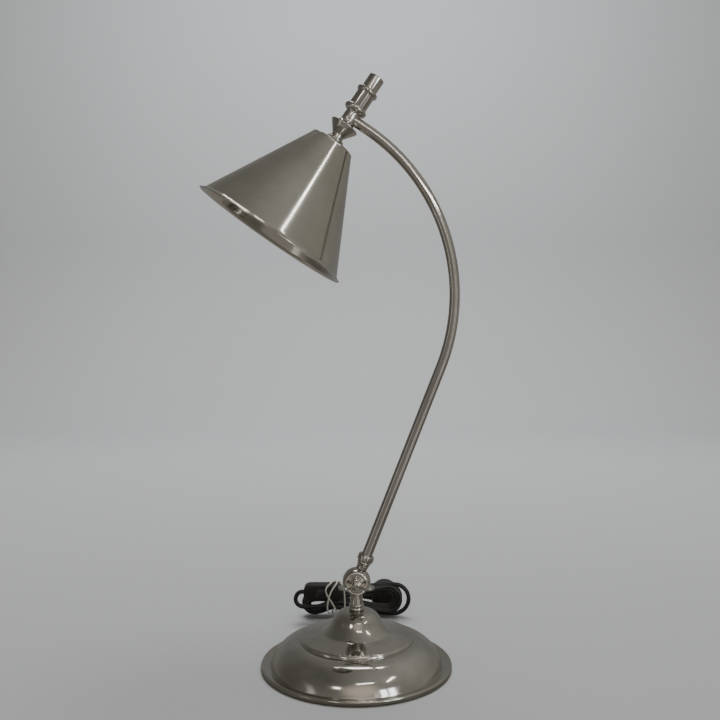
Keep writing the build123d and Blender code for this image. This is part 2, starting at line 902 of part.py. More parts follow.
def hank_station(eighth):
    # point and direction at an eighth of a turn, counted from the left end and over the top
    turn = eighth / stations_per_turn
    inset = loop_inset(turn)
    left_lobe = left_half_height - inset
    right_lobe = right_half_height - inset
    waist = waist_half_height - inset
    place = eighth % stations_per_turn
    x, z, dx, dz = {
        0: (hank_left + inset, left_z, 0, 1),
        1: (hank_left + left_half_height, left_z + left_lobe, 1, 0),
        2: (hank_waist_x, hank_waist_z + waist, 1, 0),
        3: (hank_right - right_half_height, right_z + right_lobe, 1, 0),
        4: (hank_right - inset, right_z, 0, -1),
        5: (hank_right - right_half_height, right_z - right_lobe, -1, 0),
        6: (hank_waist_x, hank_waist_z - waist, -1, 0),
        7: (hank_left + left_half_height, left_z - left_lobe, -1, 0),
    }[place]
    turn_length = 2 * (hank_right - hank_left)
    small = 0.01
    climb = (layer_y(turn + small) - layer_y(turn - small)) / (2 * small * turn_length)
    return Vector(x, layer_y(turn), z), Vector(dx, climb, dz).normalized()


def biarc(start, start_way, end, end_way):
    # two arcs that meet in one direction
    chord = end - start
    ways = start_way + end_way
    bend = 2 * (1 - start_way.dot(end_way))
    along = chord.dot(ways)
    straight = 1e-9
    if bend < straight:
        arm = chord.dot(chord) / (4 * chord.dot(start_way))
    else:
        arm = (math.sqrt(along**2 + bend * chord.dot(chord)) - along) / bend
    meeting = (start + end + (start_way - end_way) * arm) * 0.5
    first = TangentArc(start, meeting, tangent=start_way)
    second = TangentArc(meeting, end, tangent=first % 1)
    return [first, second]


cord_diameter = 2 * cord_radius
along = Vector(1, 0, 0)
switch_exit = Vector(switch_right, switch_y, switch_z)
plug_entry = Vector(boot_end, plug_y + boot_height, plug_z)
first_station = round(hank_start * stations_per_turn)
last_station = round(hank_end * stations_per_turn)
stations = [(switch_exit + along * cord_diameter, along)]
stations += [hank_station(n) for n in range(first_station, last_station + 1)]
stations.append((plug_entry - along * cord_diameter, along))
hank_edges = [Line(switch_exit, stations[0][0])]
for (p, p_way), (q, q_way) in zip(stations, stations[1:]):
    hank_edges += biarc(p, p_way, q, q_way)
hank_edges.append(Line(stations[-1][0], plug_entry))
hank_path = Wire(hank_edges)
hank = tube_along(hank_path, cord_radius, switch_exit, along)
nodes["cord_hank"] = hank


def least_gap(edges, spacing, apart):
    # least space between stretches of the cord that lie that far apart along it
    points = []
    run = 0.0
    for edge in edges:
        count = max(2, round(edge.length / spacing))
        points += [(run + edge.length * i / count, edge @ (i / count)) for i in range(count)]
        run += edge.length
    least = run
    for i, (far, p) in enumerate(points):
        for near, q in points[:i]:
            if far - near > apart:
                least = min(least, (p - q).length)
    return least - cord_diameter


print("hank length", round(hank_path.length, 1))
print("cord length", round(hank_path.length + lead_path.length, 1))
print("hank volume over section times length", round(hank.volume / cord_section / hank_path.length, 4))
print("least gap in the hank", round(least_gap(hank_edges, cord_radius, 4 * cord_diameter), 2))

# Tie: two slanted bands that cross, round the waist, the switch's end and the lead

tie_out = tie_radius + tie_gap
tie_front = switch_y - half_depth - tie_out
tie_roof = switch_z + switch_height / 2 + tie_out
tie_floor = hank_waist_z - waist_half_height - cord_radius - tie_out - tie_drop
tie_back = plug_y + boot_height + cord_radius + tie_out
lead_low = min(z for x, y, z in lead_points if x > tie_x - 2 * tie_slant) - cord_radius - tie_out
tie_section = [
    (tie_front, tie_roof),
    (tie_front, switch_z - switch_height / 2),
    (tie_front + cord_radius, lead_low),
    (hank_front - cord_radius, tie_floor),
    (tie_back - 2 * cord_diameter, tie_floor),
    (tie_back, plug_z - cord_diameter),
    (tie_back, plug_z + cord_diameter),
    (hank_front + cord_diameter, tie_roof),
]


def tie_band(slant):
    middle = (tie_roof + tie_floor) / 2
    points = [(tie_x + slant * (z - middle) / (tie_roof - middle), y, z) for y, z in tie_section]
    path = FilletPolyline(*points, radius=tie_round, close=True)
    start = path @ 0
    return tube_along(path, tie_radius, start, path % 0)


nodes["cord_tie"] = tie_band(tie_slant) + tie_band(-tie_slant)

# Plug

plug = turned(
    [
        (0, 0),
        (plug_crown_radius, 0),
        (plug_radius, plug_crown),
        (plug_radius, plug_length - plug_edge),
        (plug_radius - plug_edge, plug_length),
        (0, plug_length),
    ],
    {1: plug_crown_bow},
)
plug_place = Pos(plug_x, plug_y, plug_z)
boot = Pos(0, boot_height, 0) * Rot(0, -90, 0) * turned([
    (0, plug_radius / 2),
    (boot_radius, plug_radius / 2),
    (boot_radius, plug_radius),
    (boot_tip_radius, plug_radius + boot_length),
    (0, plug_radius + boot_length),
])
nodes["plug_body"] = plug_place * (along_y * plug + boot)
prong = along_y * turned([
    (0, plug_length),
    (prong_radius, plug_length),
    (prong_radius, plug_length + prong_length - prong_tip),
    (prong_radius - prong_tip, plug_length + prong_length),
    (0, plug_length + prong_length),
])
prongs = [Pos(side * prong_pitch / 2, 0, 0) * prong for side in (-1, 1)]
nodes["plug_prongs"] = plug_place * Compound(children=prongs)

os.makedirs("parts", exist_ok=True)
for name, solid in nodes.items():
    export_step(solid, f"parts/{name}.step")
print(len(nodes), "nodes; head at", round(head_x, 2), round(head_z, 2), "ball at", round(ball_z, 2))
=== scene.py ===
import bpy
import json
import math
from mathutils import Matrix, Vector


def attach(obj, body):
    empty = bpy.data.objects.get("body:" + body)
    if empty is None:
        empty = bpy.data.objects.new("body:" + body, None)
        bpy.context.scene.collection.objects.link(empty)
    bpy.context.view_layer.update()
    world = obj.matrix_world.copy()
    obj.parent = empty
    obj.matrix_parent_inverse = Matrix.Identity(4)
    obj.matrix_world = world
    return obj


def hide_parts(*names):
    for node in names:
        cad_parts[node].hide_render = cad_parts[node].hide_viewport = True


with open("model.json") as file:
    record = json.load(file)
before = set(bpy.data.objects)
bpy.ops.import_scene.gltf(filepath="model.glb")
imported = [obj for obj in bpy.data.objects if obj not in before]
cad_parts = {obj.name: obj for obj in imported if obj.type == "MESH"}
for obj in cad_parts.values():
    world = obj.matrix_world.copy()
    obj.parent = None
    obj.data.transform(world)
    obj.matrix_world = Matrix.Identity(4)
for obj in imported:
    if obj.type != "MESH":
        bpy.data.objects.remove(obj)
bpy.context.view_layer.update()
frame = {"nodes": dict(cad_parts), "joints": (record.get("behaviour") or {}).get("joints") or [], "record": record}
mm = 0.001               # sizes below are in millimetres, the scene is in metres
print("frame loaded,", len(frame["nodes"]), "nodes")

# Places that the frame gives
joints = {joint["name"]: joint for joint in frame["joints"]}
ballMiddle = Vector(joints["arm_tilt"]["pos_m"])
headMiddle = Vector(joints["head_swivel"]["pos_m"])
swivelAxis = Vector(joints["head_swivel"]["axis"])
headTilt = math.pi / 2 + math.atan2(swivelAxis.x, swivelAxis.z)
toFront = Matrix.Rotation(math.pi / 2, 4, "X")     # turns +Z to -Y
toBack = Matrix.Rotation(-math.pi / 2, 4, "X")     # turns +Z to +Y
toLeft = Matrix.Rotation(-math.pi / 2, 4, "Y")     # turns +Z to -X
onTable = Matrix.Identity(4)
onBall = Matrix.Translation(ballMiddle)
onHead = Matrix.Translation(headMiddle) @ Matrix.Rotation(headTilt, 4, "Y")


# Modelling helpers

fineness = {
    "arcDegrees": 3.0, "arcLeast": 4,                # steps of a drawn arc
    "edgeSteps": 3, "sharpDegrees": 15.0,            # eased edges, and how sharp an edge must be to be eased
    "smoothDegrees": 35.0, "flatDegrees": 0.5, "mergeGap": 0.001,
}


def pickOnly(piece):
    bpy.ops.object.select_all(action="DESELECT")
    piece.select_set(True)
    bpy.context.view_layer.objects.active = piece


def pickEdges(piece, test):
    # selects the edges whose two ends pass the test, and stays in edit mode
    bpy.ops.object.mode_set(mode="EDIT")
    bpy.ops.mesh.select_mode(type="EDGE")
    bpy.ops.mesh.select_all(action="DESELECT")
    bpy.ops.object.mode_set(mode="OBJECT")
    for edge in piece.data.edges:
        edge.select = test(*(piece.data.vertices[i].co for i in edge.vertices))
    bpy.ops.object.mode_set(mode="EDIT")


def startPen(name, point):
    # a plane drawn together to one vertex, which then draws an outline
    bpy.ops.object.select_all(action="DESELECT")
    bpy.ops.mesh.primitive_plane_add(size=mm)
    piece = bpy.context.object
    piece.name = name
    bpy.ops.object.mode_set(mode="EDIT")
    bpy.ops.mesh.select_mode(type="VERT")
    bpy.ops.mesh.merge(type="CENTER")
    bpy.ops.transform.translate(value=point)
    return piece


def bowPoints(p, q, rise):
    # points after p, up to q, on an arc that rises to the right of its direction
    if not rise:
        return [q]
    run = math.dist(p, q)
    along = ((q[0] - p[0]) / run, (q[1] - p[1]) / run)
    side = math.copysign(1, rise)
    right = (side * along[1], -side * along[0])
    radius = (run * run / 4 + rise * rise) / (2 * abs(rise))
    half = 2 * math.atan(2 * abs(rise) / run)
    middle = ((p[0] + q[0]) / 2, (p[1] + q[1]) / 2)
    back = abs(rise) - radius
    count = max(fineness["arcLeast"], math.ceil(math.degrees(2 * half) / fineness["arcDegrees"]))
    points = []
    for i in range(1, count + 1):
        angle = half * (2 * i / count - 1)
        out = back + radius * math.cos(angle)
        forth = radius * math.sin(angle)
        points.append(tuple(middle[n] + right[n] * out + along[n] * forth for n in (0, 1)))
    return points


def turnPiece(name, outline, place=onTable, closed=False, steps=128, edge=0.3):
    # a lathe-turned piece, from corners with a radius, a height and, if the edge after it bows, its rise
    corners = [corner[:2] for corner in outline]
    rises = [corner[2] if len(corner) > 2 else 0 for corner in outline]
    count = len(corners) if closed else len(corners) - 1
    path = [corners[0]]
    for i in range(count):
        path += bowPoints(corners[i], corners[(i + 1) % len(corners)], rises[i])
    piece = startPen(name, (path[0][0] * mm, 0, path[0][1] * mm))
    for p, q in zip(path, path[1:]):
        step = ((q[0] - p[0]) * mm, 0, (q[1] - p[1]) * mm)
        bpy.ops.mesh.extrude_region_move(TRANSFORM_OT_translate={"value": step})
    bpy.ops.mesh.select_all(action="SELECT")
    bpy.ops.mesh.spin(steps=steps, angle=2 * math.pi, center=(0, 0, 0), axis=(0, 0, 1))
    tidyMesh()
    bpy.ops.object.mode_set(mode="OBJECT")
    easeEdges(piece, edge)
    setPlace(piece, place)
    return piece


def tidyMesh():
    # in edit mode: doubles merged, then faces outwards
    bpy.ops.mesh.select_all(action="SELECT")
    bpy.ops.mesh.remove_doubles(threshold=fineness["mergeGap"] * mm)
    bpy.ops.mesh.normals_make_consistent(inside=False)


def smoothFaces():
    bpy.ops.object.shade_smooth_by_angle(angle=math.radians(fineness["smoothDegrees"]))


def easeEdges(piece, width):
    pickOnly(piece)
    if width:
        bevel = piece.modifiers.new("easedEdges", "BEVEL")
        bevel.width = width * mm
        bevel.segments = fineness["edgeSteps"]
        bevel.limit_method = "ANGLE"
        bevel.angle_limit = math.radians(fineness["sharpDegrees"])
        bpy.ops.object.modifier_apply(modifier=bevel.name)
    smoothFaces()


def setPlace(piece, place):
    # the place goes into the mesh, and the object stays at the origin
    pickOnly(piece)
    piece.matrix_world = place
    bpy.ops.object.transform_apply(location=True, rotation=True, scale=True)


def cutOrAdd(piece, other, operation):
    # takes the other piece away from this one, or adds it on
    pickOnly(piece)
    fusion = piece.modifiers.new("fusion", "BOOLEAN")
    fusion.operation = operation
    fusion.solver = "EXACT"
    fusion.object = other
    bpy.ops.object.modifier_apply(modifier=fusion.name)
    bpy.data.objects.remove(other)
    smoothFaces()


def joinPieces(pieces):
    bpy.ops.object.select_all(action="DESELECT")
    for piece in pieces:
        piece.select_set(True)
    bpy.context.view_layer.objects.active = pieces[0]
    bpy.ops.object.join()
    return pieces[0]


def dress(piece, material, body, node):
    # gives a piece its finish and its body, in place of a node
    piece.data.materials.clear()
    piece.data.materials.append(material)
    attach(piece, body)
    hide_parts(node)
    return piece


# Material helpers

def startMaterial(name):
    material = bpy.data.materials.new(name)
    material.use_nodes = True
    return material, material.node_tree, material.node_tree.nodes["Principled BSDF"]


def addNode(tree, kind, **values):
    node = tree.nodes.new("ShaderNode" + kind)
    for name, value in values.items():
        if name in node.inputs:
            node.inputs[name].default_value = value
        else:
            setattr(node, name, value)
    return node


def localCoords(tree, middle=(0, 0, 0), turn=0.0):
    # Object coordinates, moved and turned into the piece's own place
    coords = addNode(tree, "TexCoord")
    mapping = addNode(tree, "Mapping", vector_type="TEXTURE", Location=middle, Rotation=(0, turn, 0))
    tree.links.new(coords.outputs["Object"], mapping.inputs["Vector"])
    return mapping.outputs["Vector"]


def noiseOn(tree, coords, scale, detail, rough=0.55):
    noise = addNode(tree, "TexNoise", Scale=scale, Detail=detail, Roughness=rough)
    tree.links.new(coords, noise.inputs["Vector"])
    return noise.outputs["Fac"]


def spreadOver(tree, factor, low, high, fromLow=0.3, fromHigh=0.7):
    limits = {"From Min": fromLow, "From Max": fromHigh, "To Min": low, "To Max": high}
    spread = addNode(tree, "MapRange", **limits)
    tree.links.new(factor, spread.inputs["Value"])
    return spread.outputs["Result"]


def mathOn(tree, operation, *values, **settings):
    # a maths node on outputs of other nodes and plain numbers
    node = addNode(tree, "Math", operation=operation, **settings)
    for socket, value in zip(node.inputs, values):
        if isinstance(value, float):
            socket.default_value = value
        else:
            tree.links.new(value, socket)
    return node.outputs["Value"]


def mixColours(tree, factor, first, second):
    mix = addNode(tree, "Mix", data_type="RGBA")
    tree.links.new(factor, mix.inputs["Factor"])
    for socket, value in ((mix.inputs[6], first), (mix.inputs[7], second)):
        if isinstance(value, tuple):
            socket.default_value = (*value, 1)
        else:
            tree.links.new(value, socket)
    return mix.outputs[2]


def addBump(tree, shader, height, strength, depth):
    bump = addNode(tree, "Bump", Strength=strength, Distance=depth * mm)
    tree.links.new(height, bump.inputs["Height"])
    tree.links.new(bump.outputs["Normal"], shader.inputs["Normal"])


# Finishes

nickelPlate = {
    "clean": (0.55, 0.535, 0.50), "tarnish": (0.41, 0.395, 0.355),
    "patchScale": 26.0, "patchDetail": 7.0, "patchRough": 0.62, "patchFade": (0.32, 0.66),
    "polishLow": 0.07, "polishHigh": 0.16, "polishFade": (0.3, 0.62),
    "grainScale": 900.0, "grainDetail": 3.0, "grainRough": 0.6, "grainSpread": (-0.02, 0.05),
    "markScale": 2600.0, "markDetail": 3.0, "markRough": 0.7, "markDepth": 0.02, "markStrength": 0.06,
    "gloss": 0.3, "glossRough": 0.03, "stretch": 0.0,
}


def latheMarks(tree, coords, look):
    # noise over the radius plus the height, so that it runs round the piece
    split = addNode(tree, "SeparateXYZ")
    tree.links.new(coords, split.inputs["Vector"])
    flat = addNode(tree, "VectorMath", operation="MULTIPLY")
    flat.inputs[1].default_value = (1, 1, 0)
    tree.links.new(coords, flat.inputs[0])
    away = addNode(tree, "VectorMath", operation="LENGTH")
    tree.links.new(flat.outputs["Vector"], away.inputs[0])
    reach = mathOn(tree, "ADD", away.outputs["Value"], split.outputs["Z"])
    marks = addNode(tree, "TexNoise", noise_dimensions="1D", Scale=look["markScale"],
                    Detail=look["markDetail"], Roughness=look["markRough"])
    tree.links.new(reach, marks.inputs["W"])
    return marks.outputs["Fac"]


def makeNickel(name, look, middle=(0, 0, 0), turn=0.0):
    # plated metal with cloudy tarnish, and faint marks round it from the lathe
    material, tree, shader = startMaterial(name)
    coords = localCoords(tree, middle, turn)
    clouds = noiseOn(tree, coords, look["patchScale"], look["patchDetail"], look["patchRough"])
    grain = noiseOn(tree, coords, look["grainScale"], look["grainDetail"], look["grainRough"])
    cloudy = spreadOver(tree, clouds, 0.0, 1.0, *look["patchFade"])
    tree.links.new(mixColours(tree, cloudy, look["tarnish"], look["clean"]), shader.inputs["Base Color"])
    dull = spreadOver(tree, clouds, look["polishHigh"], look["polishLow"], *look["polishFade"])
    speck = spreadOver(tree, grain, *look["grainSpread"])
    tree.links.new(mathOn(tree, "ADD", dull, speck, use_clamp=True), shader.inputs["Roughness"])
    addBump(tree, shader, latheMarks(tree, coords, look), look["markStrength"], look["markDepth"])
    shader.inputs["Metallic"].default_value = 1.0
    shader.inputs["Coat Weight"].default_value = look["gloss"]
    shader.inputs["Coat Roughness"].default_value = look["glossRough"]
    if look["stretch"]:
        # a spun sheet's highlights run along the cone
        shader.inputs["Anisotropic"].default_value = look["stretch"]
        way = addNode(tree, "Tangent", direction_type="UV_MAP", uv_map="spun")
        tree.links.new(way.outputs["Tangent"], shader.inputs["Tangent"])
    return material


satinNickel = dict(nickelPlate)
satinNickel.update({
    "clean": (0.60, 0.585, 0.535), "tarnish": (0.48, 0.465, 0.41), "patchScale": 18.0,
    "polishLow": 0.10, "polishHigh": 0.15, "markStrength": 0.04, "gloss": 0.2, "stretch": 0.3,
})

# the knuckle's rim: plating far paler than the rest, a painted highlight on the bead together with its wear
wearAndHighlightPlate = dict(nickelPlate)
wearAndHighlightPlate.update({
    "clean": (0.94, 0.91, 0.87), "tarnish": (0.82, 0.79, 0.74), "polishLow": 0.2, "polishHigh": 0.28,
})

# the arm's drawn tube: almost no lathe marks, and a darker copy of the plating as painted shade
drawnShadedPlate = dict(nickelPlate)
drawnShadedPlate.update({
    "clean": (0.52, 0.506, 0.473), "tarnish": (0.40, 0.386, 0.348), "markStrength": 0.005,
})

baseNickel = makeNickel("baseNickel", nickelPlate)
wearAndHighlightNickel = makeNickel("wearAndHighlightNickel", wearAndHighlightPlate, ballMiddle)
knuckleNickel = makeNickel("knuckleNickel", nickelPlate, ballMiddle)
armNickel = makeNickel("armNickel", drawnShadedPlate, ballMiddle)
headNickel = makeNickel("headNickel", nickelPlate, headMiddle, headTilt)
shadeNickel = makeNickel("shadeNickel", satinNickel, headMiddle, headTilt)


plainLook = {"cloudDetail": 5.0, "grainDetail": 3.0, "grainStrength": 0.4}


def makePlain(name, first, second, scale, rough, grainScale, grainDepth, metallic=0.0):
    # two close colours in clouds, uneven gloss and a fine grain
    material, tree, shader = startMaterial(name)
    coords = localCoords(tree)
    clouds = noiseOn(tree, coords, scale, plainLook["cloudDetail"])
    tree.links.new(mixColours(tree, clouds, first, second), shader.inputs["Base Color"])
    tree.links.new(spreadOver(tree, clouds, *rough), shader.inputs["Roughness"])
    grain = noiseOn(tree, coords, grainScale, plainLook["grainDetail"])
    addBump(tree, shader, grain, plainLook["grainStrength"], grainDepth)
    shader.inputs["Metallic"].default_value = metallic
    return material


# two colours, scale of the clouds, roughness, scale and depth of the grain, and how metallic it is
cordSheath = makePlain("cordSheath", (0.009, 0.009, 0.010), (0.020, 0.020, 0.021),
                       90, (0.34, 0.52), 2200, 0.03)
blackMoulding = makePlain("blackMoulding", (0.010, 0.010, 0.011), (0.022, 0.021, 0.021),
                          70, (0.26, 0.46), 1700, 0.04)
holderMoulding = makePlain("holderMoulding", (0.022, 0.020, 0.018), (0.040, 0.037, 0.034),
                           60, (0.3, 0.5), 900, 0.04)
whiteElastic = makePlain("whiteElastic", (0.80, 0.78, 0.72), (0.62, 0.60, 0.54),
                         240, (0.75, 0.92), 1800, 0.2)
castIron = makePlain("castIron", (0.035, 0.035, 0.035), (0.075, 0.07, 0.065),
                     70, (0.6, 0.85), 500, 0.4)
zincSteel = makePlain("zincSteel", (0.52, 0.53, 0.54), (0.66, 0.66, 0.65),
                      120, (0.28, 0.48), 1500, 0.05, 1.0)
plainBrass = makePlain("plainBrass", (0.66, 0.49, 0.22), (0.80, 0.62, 0.31),
                       90, (0.24, 0.42), 1500, 0.04, 1.0)
prongNickel = makePlain("prongNickel", (0.62, 0.60, 0.56), (0.74, 0.72, 0.68),
                        110, (0.14, 0.32), 1500, 0.03, 1.0)
pressedFibre = makePlain("pressedFibre", (0.10, 0.055, 0.035), (0.17, 0.10, 0.065),
                         160, (0.7, 0.9), 1600, 0.15)
greenFelt = makePlain("greenFelt", (0.020, 0.040, 0.022), (0.045, 0.075, 0.045),
                      260, (0.9, 1.0), 1400, 0.6)
opalGlass = makePlain("opalGlass", (0.86, 0.85, 0.80), (0.90, 0.89, 0.86),
                      30, (0.08, 0.16), 300, 0.01)
print("finishes made")

finishOf = {
    "polished_nickel": knuckleNickel, "satin_nickel": headNickel, "cast_iron": castIron, "felt": greenFelt,
    "steel": zincSteel, "brass": plainBrass, "prong_nickel": prongNickel, "black_sheath": cordSheath,
    "black_moulding": blackMoulding, "holder_moulding": holderMoulding, "opal_glass": opalGlass,
    "white_tie": whiteElastic, "fibre": pressedFibre,
}
slotOf = {part["node"]: part["material_slot"] for part in frame["record"]["subparts"]}
for node, cadPiece in frame["nodes"].items():
    cadPiece.data.materials.clear()
    cadPiece.data.materials.append(finishOf[slotOf[node]])
print("solids dressed")


# Camera, level, at the height of the lamp's middle

eye = {"place": (0.0033, -0.727, 0.290), "lens": 38.2, "sensor": 36.0}


def makeCamera():
    bpy.ops.object.camera_add(location=eye["place"], rotation=(math.pi / 2, 0, 0))
    camera = bpy.context.object
    camera.name = "photoCamera"
    camera.data.lens = eye["lens"]
    camera.data.sensor_width = eye["sensor"]
    bpy.context.scene.camera = camera


makeCamera()
print("camera set")


# Base cover, a spun shell

baseCover = {
    "outside": [
        (90, 0.6), (90, 3.2, 0.5), (88.4, 4.8), (86.8, 4.7), (81.4, 3.2, 5.6), (54.4, 25.4, 0.47),
        (52.8, 28.7), (32.6, 32.6, -1.1), (22, 45.6, 1.87), (9.5, 52.6), (4.1, 52.6),
    ],
    "wall": 1.2, "bore": 4.1, "floor": 0.6, "steps": 192, "edge": 0.55,
    "leastBow": 1,    # an edge that rises less is straight inside
}


def insideOf(cover):
    # the same outline a wall further in, drawn back from the end
    corners = [(max(r - cover["wall"], cover["bore"]), max(z - cover["wall"], cover["floor"]))
               for r, z, *rise in cover["outside"]]
    rises = [-rise[0] if rise and abs(rise[0]) > cover["leastBow"] else 0
             for r, z, *rise in cover["outside"]]
    back = []
    for i in reversed(range(len(corners))):
        back.append((*corners[i], rises[i - 1] if i else 0))
    return back


coverPiece = turnPiece("baseCover", baseCover["outside"] + insideOf(baseCover), closed=True,
                       steps=baseCover["steps"], edge=baseCover["edge"])
dress(coverPiece, baseNickel, "base", "base_cover")
print("base cover spun")


# Ball knuckle: two halves, each with what it carries

knuckle = {
    "ball": 13.4, "split": 0.4, "facet": 8.3, "bore": 3.05, "clear": 0.35, "pole": 0.01,
    "edge": 0.3, "shaftEdge": 0.25, "rimEdge": 0.1, "steps": 128,
    "washer": [(3.05, 8.3), (6.8, 8.3), (6.8, 9.5), (3.05, 9.5)],
    "rim": [(8.95, 7.8), (10.55, 7.8), (10.55, 8.35, 0.7), (8.95, 8.35)],
    "stem": [
        (0, 52.6), (6.55, 52.6, 0.6), (6.55, 55.6), (6.2, 55.6), (6.2, 56.4), (6.55, 56.4, 0.6),
        (6.55, 58.6), (5.95, 58.6), (5.95, 72), (0, 72),
    ],
    "lean": math.radians(21.5),
    "neck": [
        (0, 7), (5.3, 7), (5.3, 13.5, -0.35), (6.6, 19.4), (6.2, 19.9), (6.2, 20.7),
        (7.6, 21.3, 0.15), (7.6, 26.3), (6.9, 27.4), (5.05, 27.4), (5.05, 19.5), (0, 19.5),
    ],
}
onArm = onBall @ Matrix.Rotation(knuckle["lean"], 4, "Y")


def ballSlice(name, radius, low, high, bore, place, edge):
    # what two cuts across its axis leave of the ball
    lowRing = math.sqrt(radius**2 - low**2)
    highRing = math.sqrt(radius**2 - high**2)
    half = math.dist((lowRing, low), (highRing, high)) / 2
    rise = radius - math.sqrt(radius**2 - half**2)
    outline = [(bore, low), (lowRing, low, rise), (highRing, high), (bore, high)]
    return turnPiece(name, outline, place, bool(bore), knuckle["steps"], edge)


def makeKnuckleHalf(name, carried, carriedPlace, ownWay, otherWay):
    # the carried piece is hollowed where the other half swings, and grows out of its own half
    half = ballSlice(name, knuckle["ball"], knuckle["split"], knuckle["facet"], knuckle["bore"],
                     onBall @ ownWay, knuckle["edge"])
    shaft = turnPiece(name + "Shaft", carried, carriedPlace, edge=knuckle["shaftEdge"])
    swing = knuckle["ball"] + knuckle["clear"]
    swingTop = swing - knuckle["pole"]
    swingRoom = ballSlice(name + "Room", swing, -knuckle["split"], swingTop, 0, onBall @ otherWay, 0)
    cutOrAdd(shaft, swingRoom, "DIFFERENCE")
    cutOrAdd(half, shaft, "UNION")
    half.data.materials.clear()
    half.data.materials.append(knuckleNickel)
    # the rim keeps a material of its own, a much paler metal that paints a highlight on the bead as well as its
    # wear
    rim = turnPiece(name + "Rim", knuckle["rim"], onBall @ ownWay, True, edge=knuckle["rimEdge"])
    rim.data.materials.append(wearAndHighlightNickel)
    return joinPieces([half, rim])


lowerKnuckle = makeKnuckleHalf("lowerKnuckle", knuckle["stem"], onTable, toFront, toBack)
upperKnuckle = makeKnuckleHalf("upperKnuckle", knuckle["neck"], onArm, toBack, toFront)
for half, body, node in ((lowerKnuckle, "base", "lower_knuckle"), (upperKnuckle, "arm", "upper_knuckle")):
    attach(half, body)
    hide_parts(node)
wingWasher = turnPiece("wingWasher", knuckle["washer"], onBall @ toFront, True)
dress(wingWasher, knuckleNickel, "base", "wing_washer")
print("knuckle turned")


# Wing screw, a casting with two ears

wingScrew = {
    "body": [(0, -7.4), (3, -7.4), (3, 9.55), (5.8, 9.55), (5.6, 10.6, -0.8), (3.7, 18.05, 0.5), (0, 18.6)],
    "earX": 11.1, "earReach": 21.55, "earRadius": 5.6, "earThick": 2.5, "webReach": 13.8, "webWidth": 7.4,
    "steps": 64, "edge": 0.4, "voxel": 0.25, "softness": 0.5, "smoothing": 4,
}


def makeWing(side):
    # a round ear and the web that carries it, in front of the ball
    root = Vector((0, -wingScrew["webReach"], 0)) * mm
    tip = Vector((side * wingScrew["earX"], -wingScrew["earReach"], 0)) * mm
    thick = wingScrew["earThick"] * mm
    bpy.ops.object.select_all(action="DESELECT")
    bpy.ops.mesh.primitive_cylinder_add(vertices=wingScrew["steps"], radius=wingScrew["earRadius"] * mm,
                                        depth=thick, location=tip)
    ear = bpy.context.object
    bpy.ops.mesh.primitive_cube_add(size=1, location=(root + tip) / 2)
    web = bpy.context.object
    web.scale = ((tip - root).length, wingScrew["webWidth"] * mm, thick)
    web.rotation_euler = (0, 0, math.atan2(tip.y - root.y, tip.x - root.x))
    return [ear, web]


def makeWingScrew():
    screw = turnPiece("wingScrew", wingScrew["body"], toFront,
                      steps=wingScrew["steps"], edge=wingScrew["edge"])
    joinPieces([screw] + makeWing(-1) + makeWing(1))
    remesh = screw.modifiers.new("cast", "REMESH")
    remesh.mode = "VOXEL"
    remesh.voxel_size = wingScrew["voxel"] * mm
    bpy.ops.object.modifier_apply(modifier=remesh.name)
    soften = screw.modifiers.new("soften", "SMOOTH")
    soften.factor = wingScrew["softness"]
    soften.iterations = wingScrew["smoothing"]
    bpy.ops.object.modifier_apply(modifier=soften.name)
    bpy.ops.object.shade_smooth()
    setPlace(screw, onBall)
    return screw


dress(makeWingScrew(), knuckleNickel, "wing_screw", "wing_screw")
print("wing screw cast")


# Arm, a drawn tube with one long bend

armShape = {"radius": 5.0, "wall": 1.0, "start": 19.5, "straight": 219.0, "bend": 189.0, "endRun": 19.5,
            "sides": 64, "bendSteps": 128}


def makeArm():
    lean = knuckle["lean"]
    endLean = headTilt - math.pi / 2
    way = Vector((math.sin(lean), 0, math.cos(lean)))
    endWay = Vector((math.sin(endLean), 0, math.cos(endLean)))
    across = Vector((-math.cos(lean), 0, math.sin(lean)))
    start = ballMiddle + way * armShape["start"] * mm
    bendMiddle = ballMiddle + (way * armShape["straight"] + across * armShape["bend"]) * mm
    bpy.ops.object.select_all(action="DESELECT")
    bpy.ops.mesh.primitive_circle_add(vertices=armShape["sides"], radius=armShape["radius"] * mm,
                                      location=start, rotation=(0, lean, 0))
    arm = bpy.context.object
    arm.name = "armTube"
    bpy.ops.object.transform_apply(location=True, rotation=True)
    bpy.ops.object.mode_set(mode="EDIT")
    bpy.ops.mesh.select_all(action="SELECT")
    run = way * (armShape["straight"] - armShape["start"]) * mm
    bpy.ops.mesh.extrude_region_move(TRANSFORM_OT_translate={"value": run})
    bpy.ops.mesh.spin(steps=armShape["bendSteps"], angle=lean - endLean, center=bendMiddle, axis=(0, 1, 0))
    bpy.ops.mesh.extrude_region_move(TRANSFORM_OT_translate={"value": endWay * armShape["endRun"] * mm})
    tidyMesh()
    bpy.ops.object.mode_set(mode="OBJECT")
    wall = arm.modifiers.new("wall", "SOLIDIFY")
    wall.thickness = armShape["wall"] * mm
    wall.offset = -1
    bpy.ops.object.modifier_apply(modifier=wall.name)
    smoothFaces()
    return arm


armPiece = dress(makeArm(), armNickel, "arm", "arm_tube")
print("arm bent")


# Head: turned pieces on the swivel, heights from the arm's axis

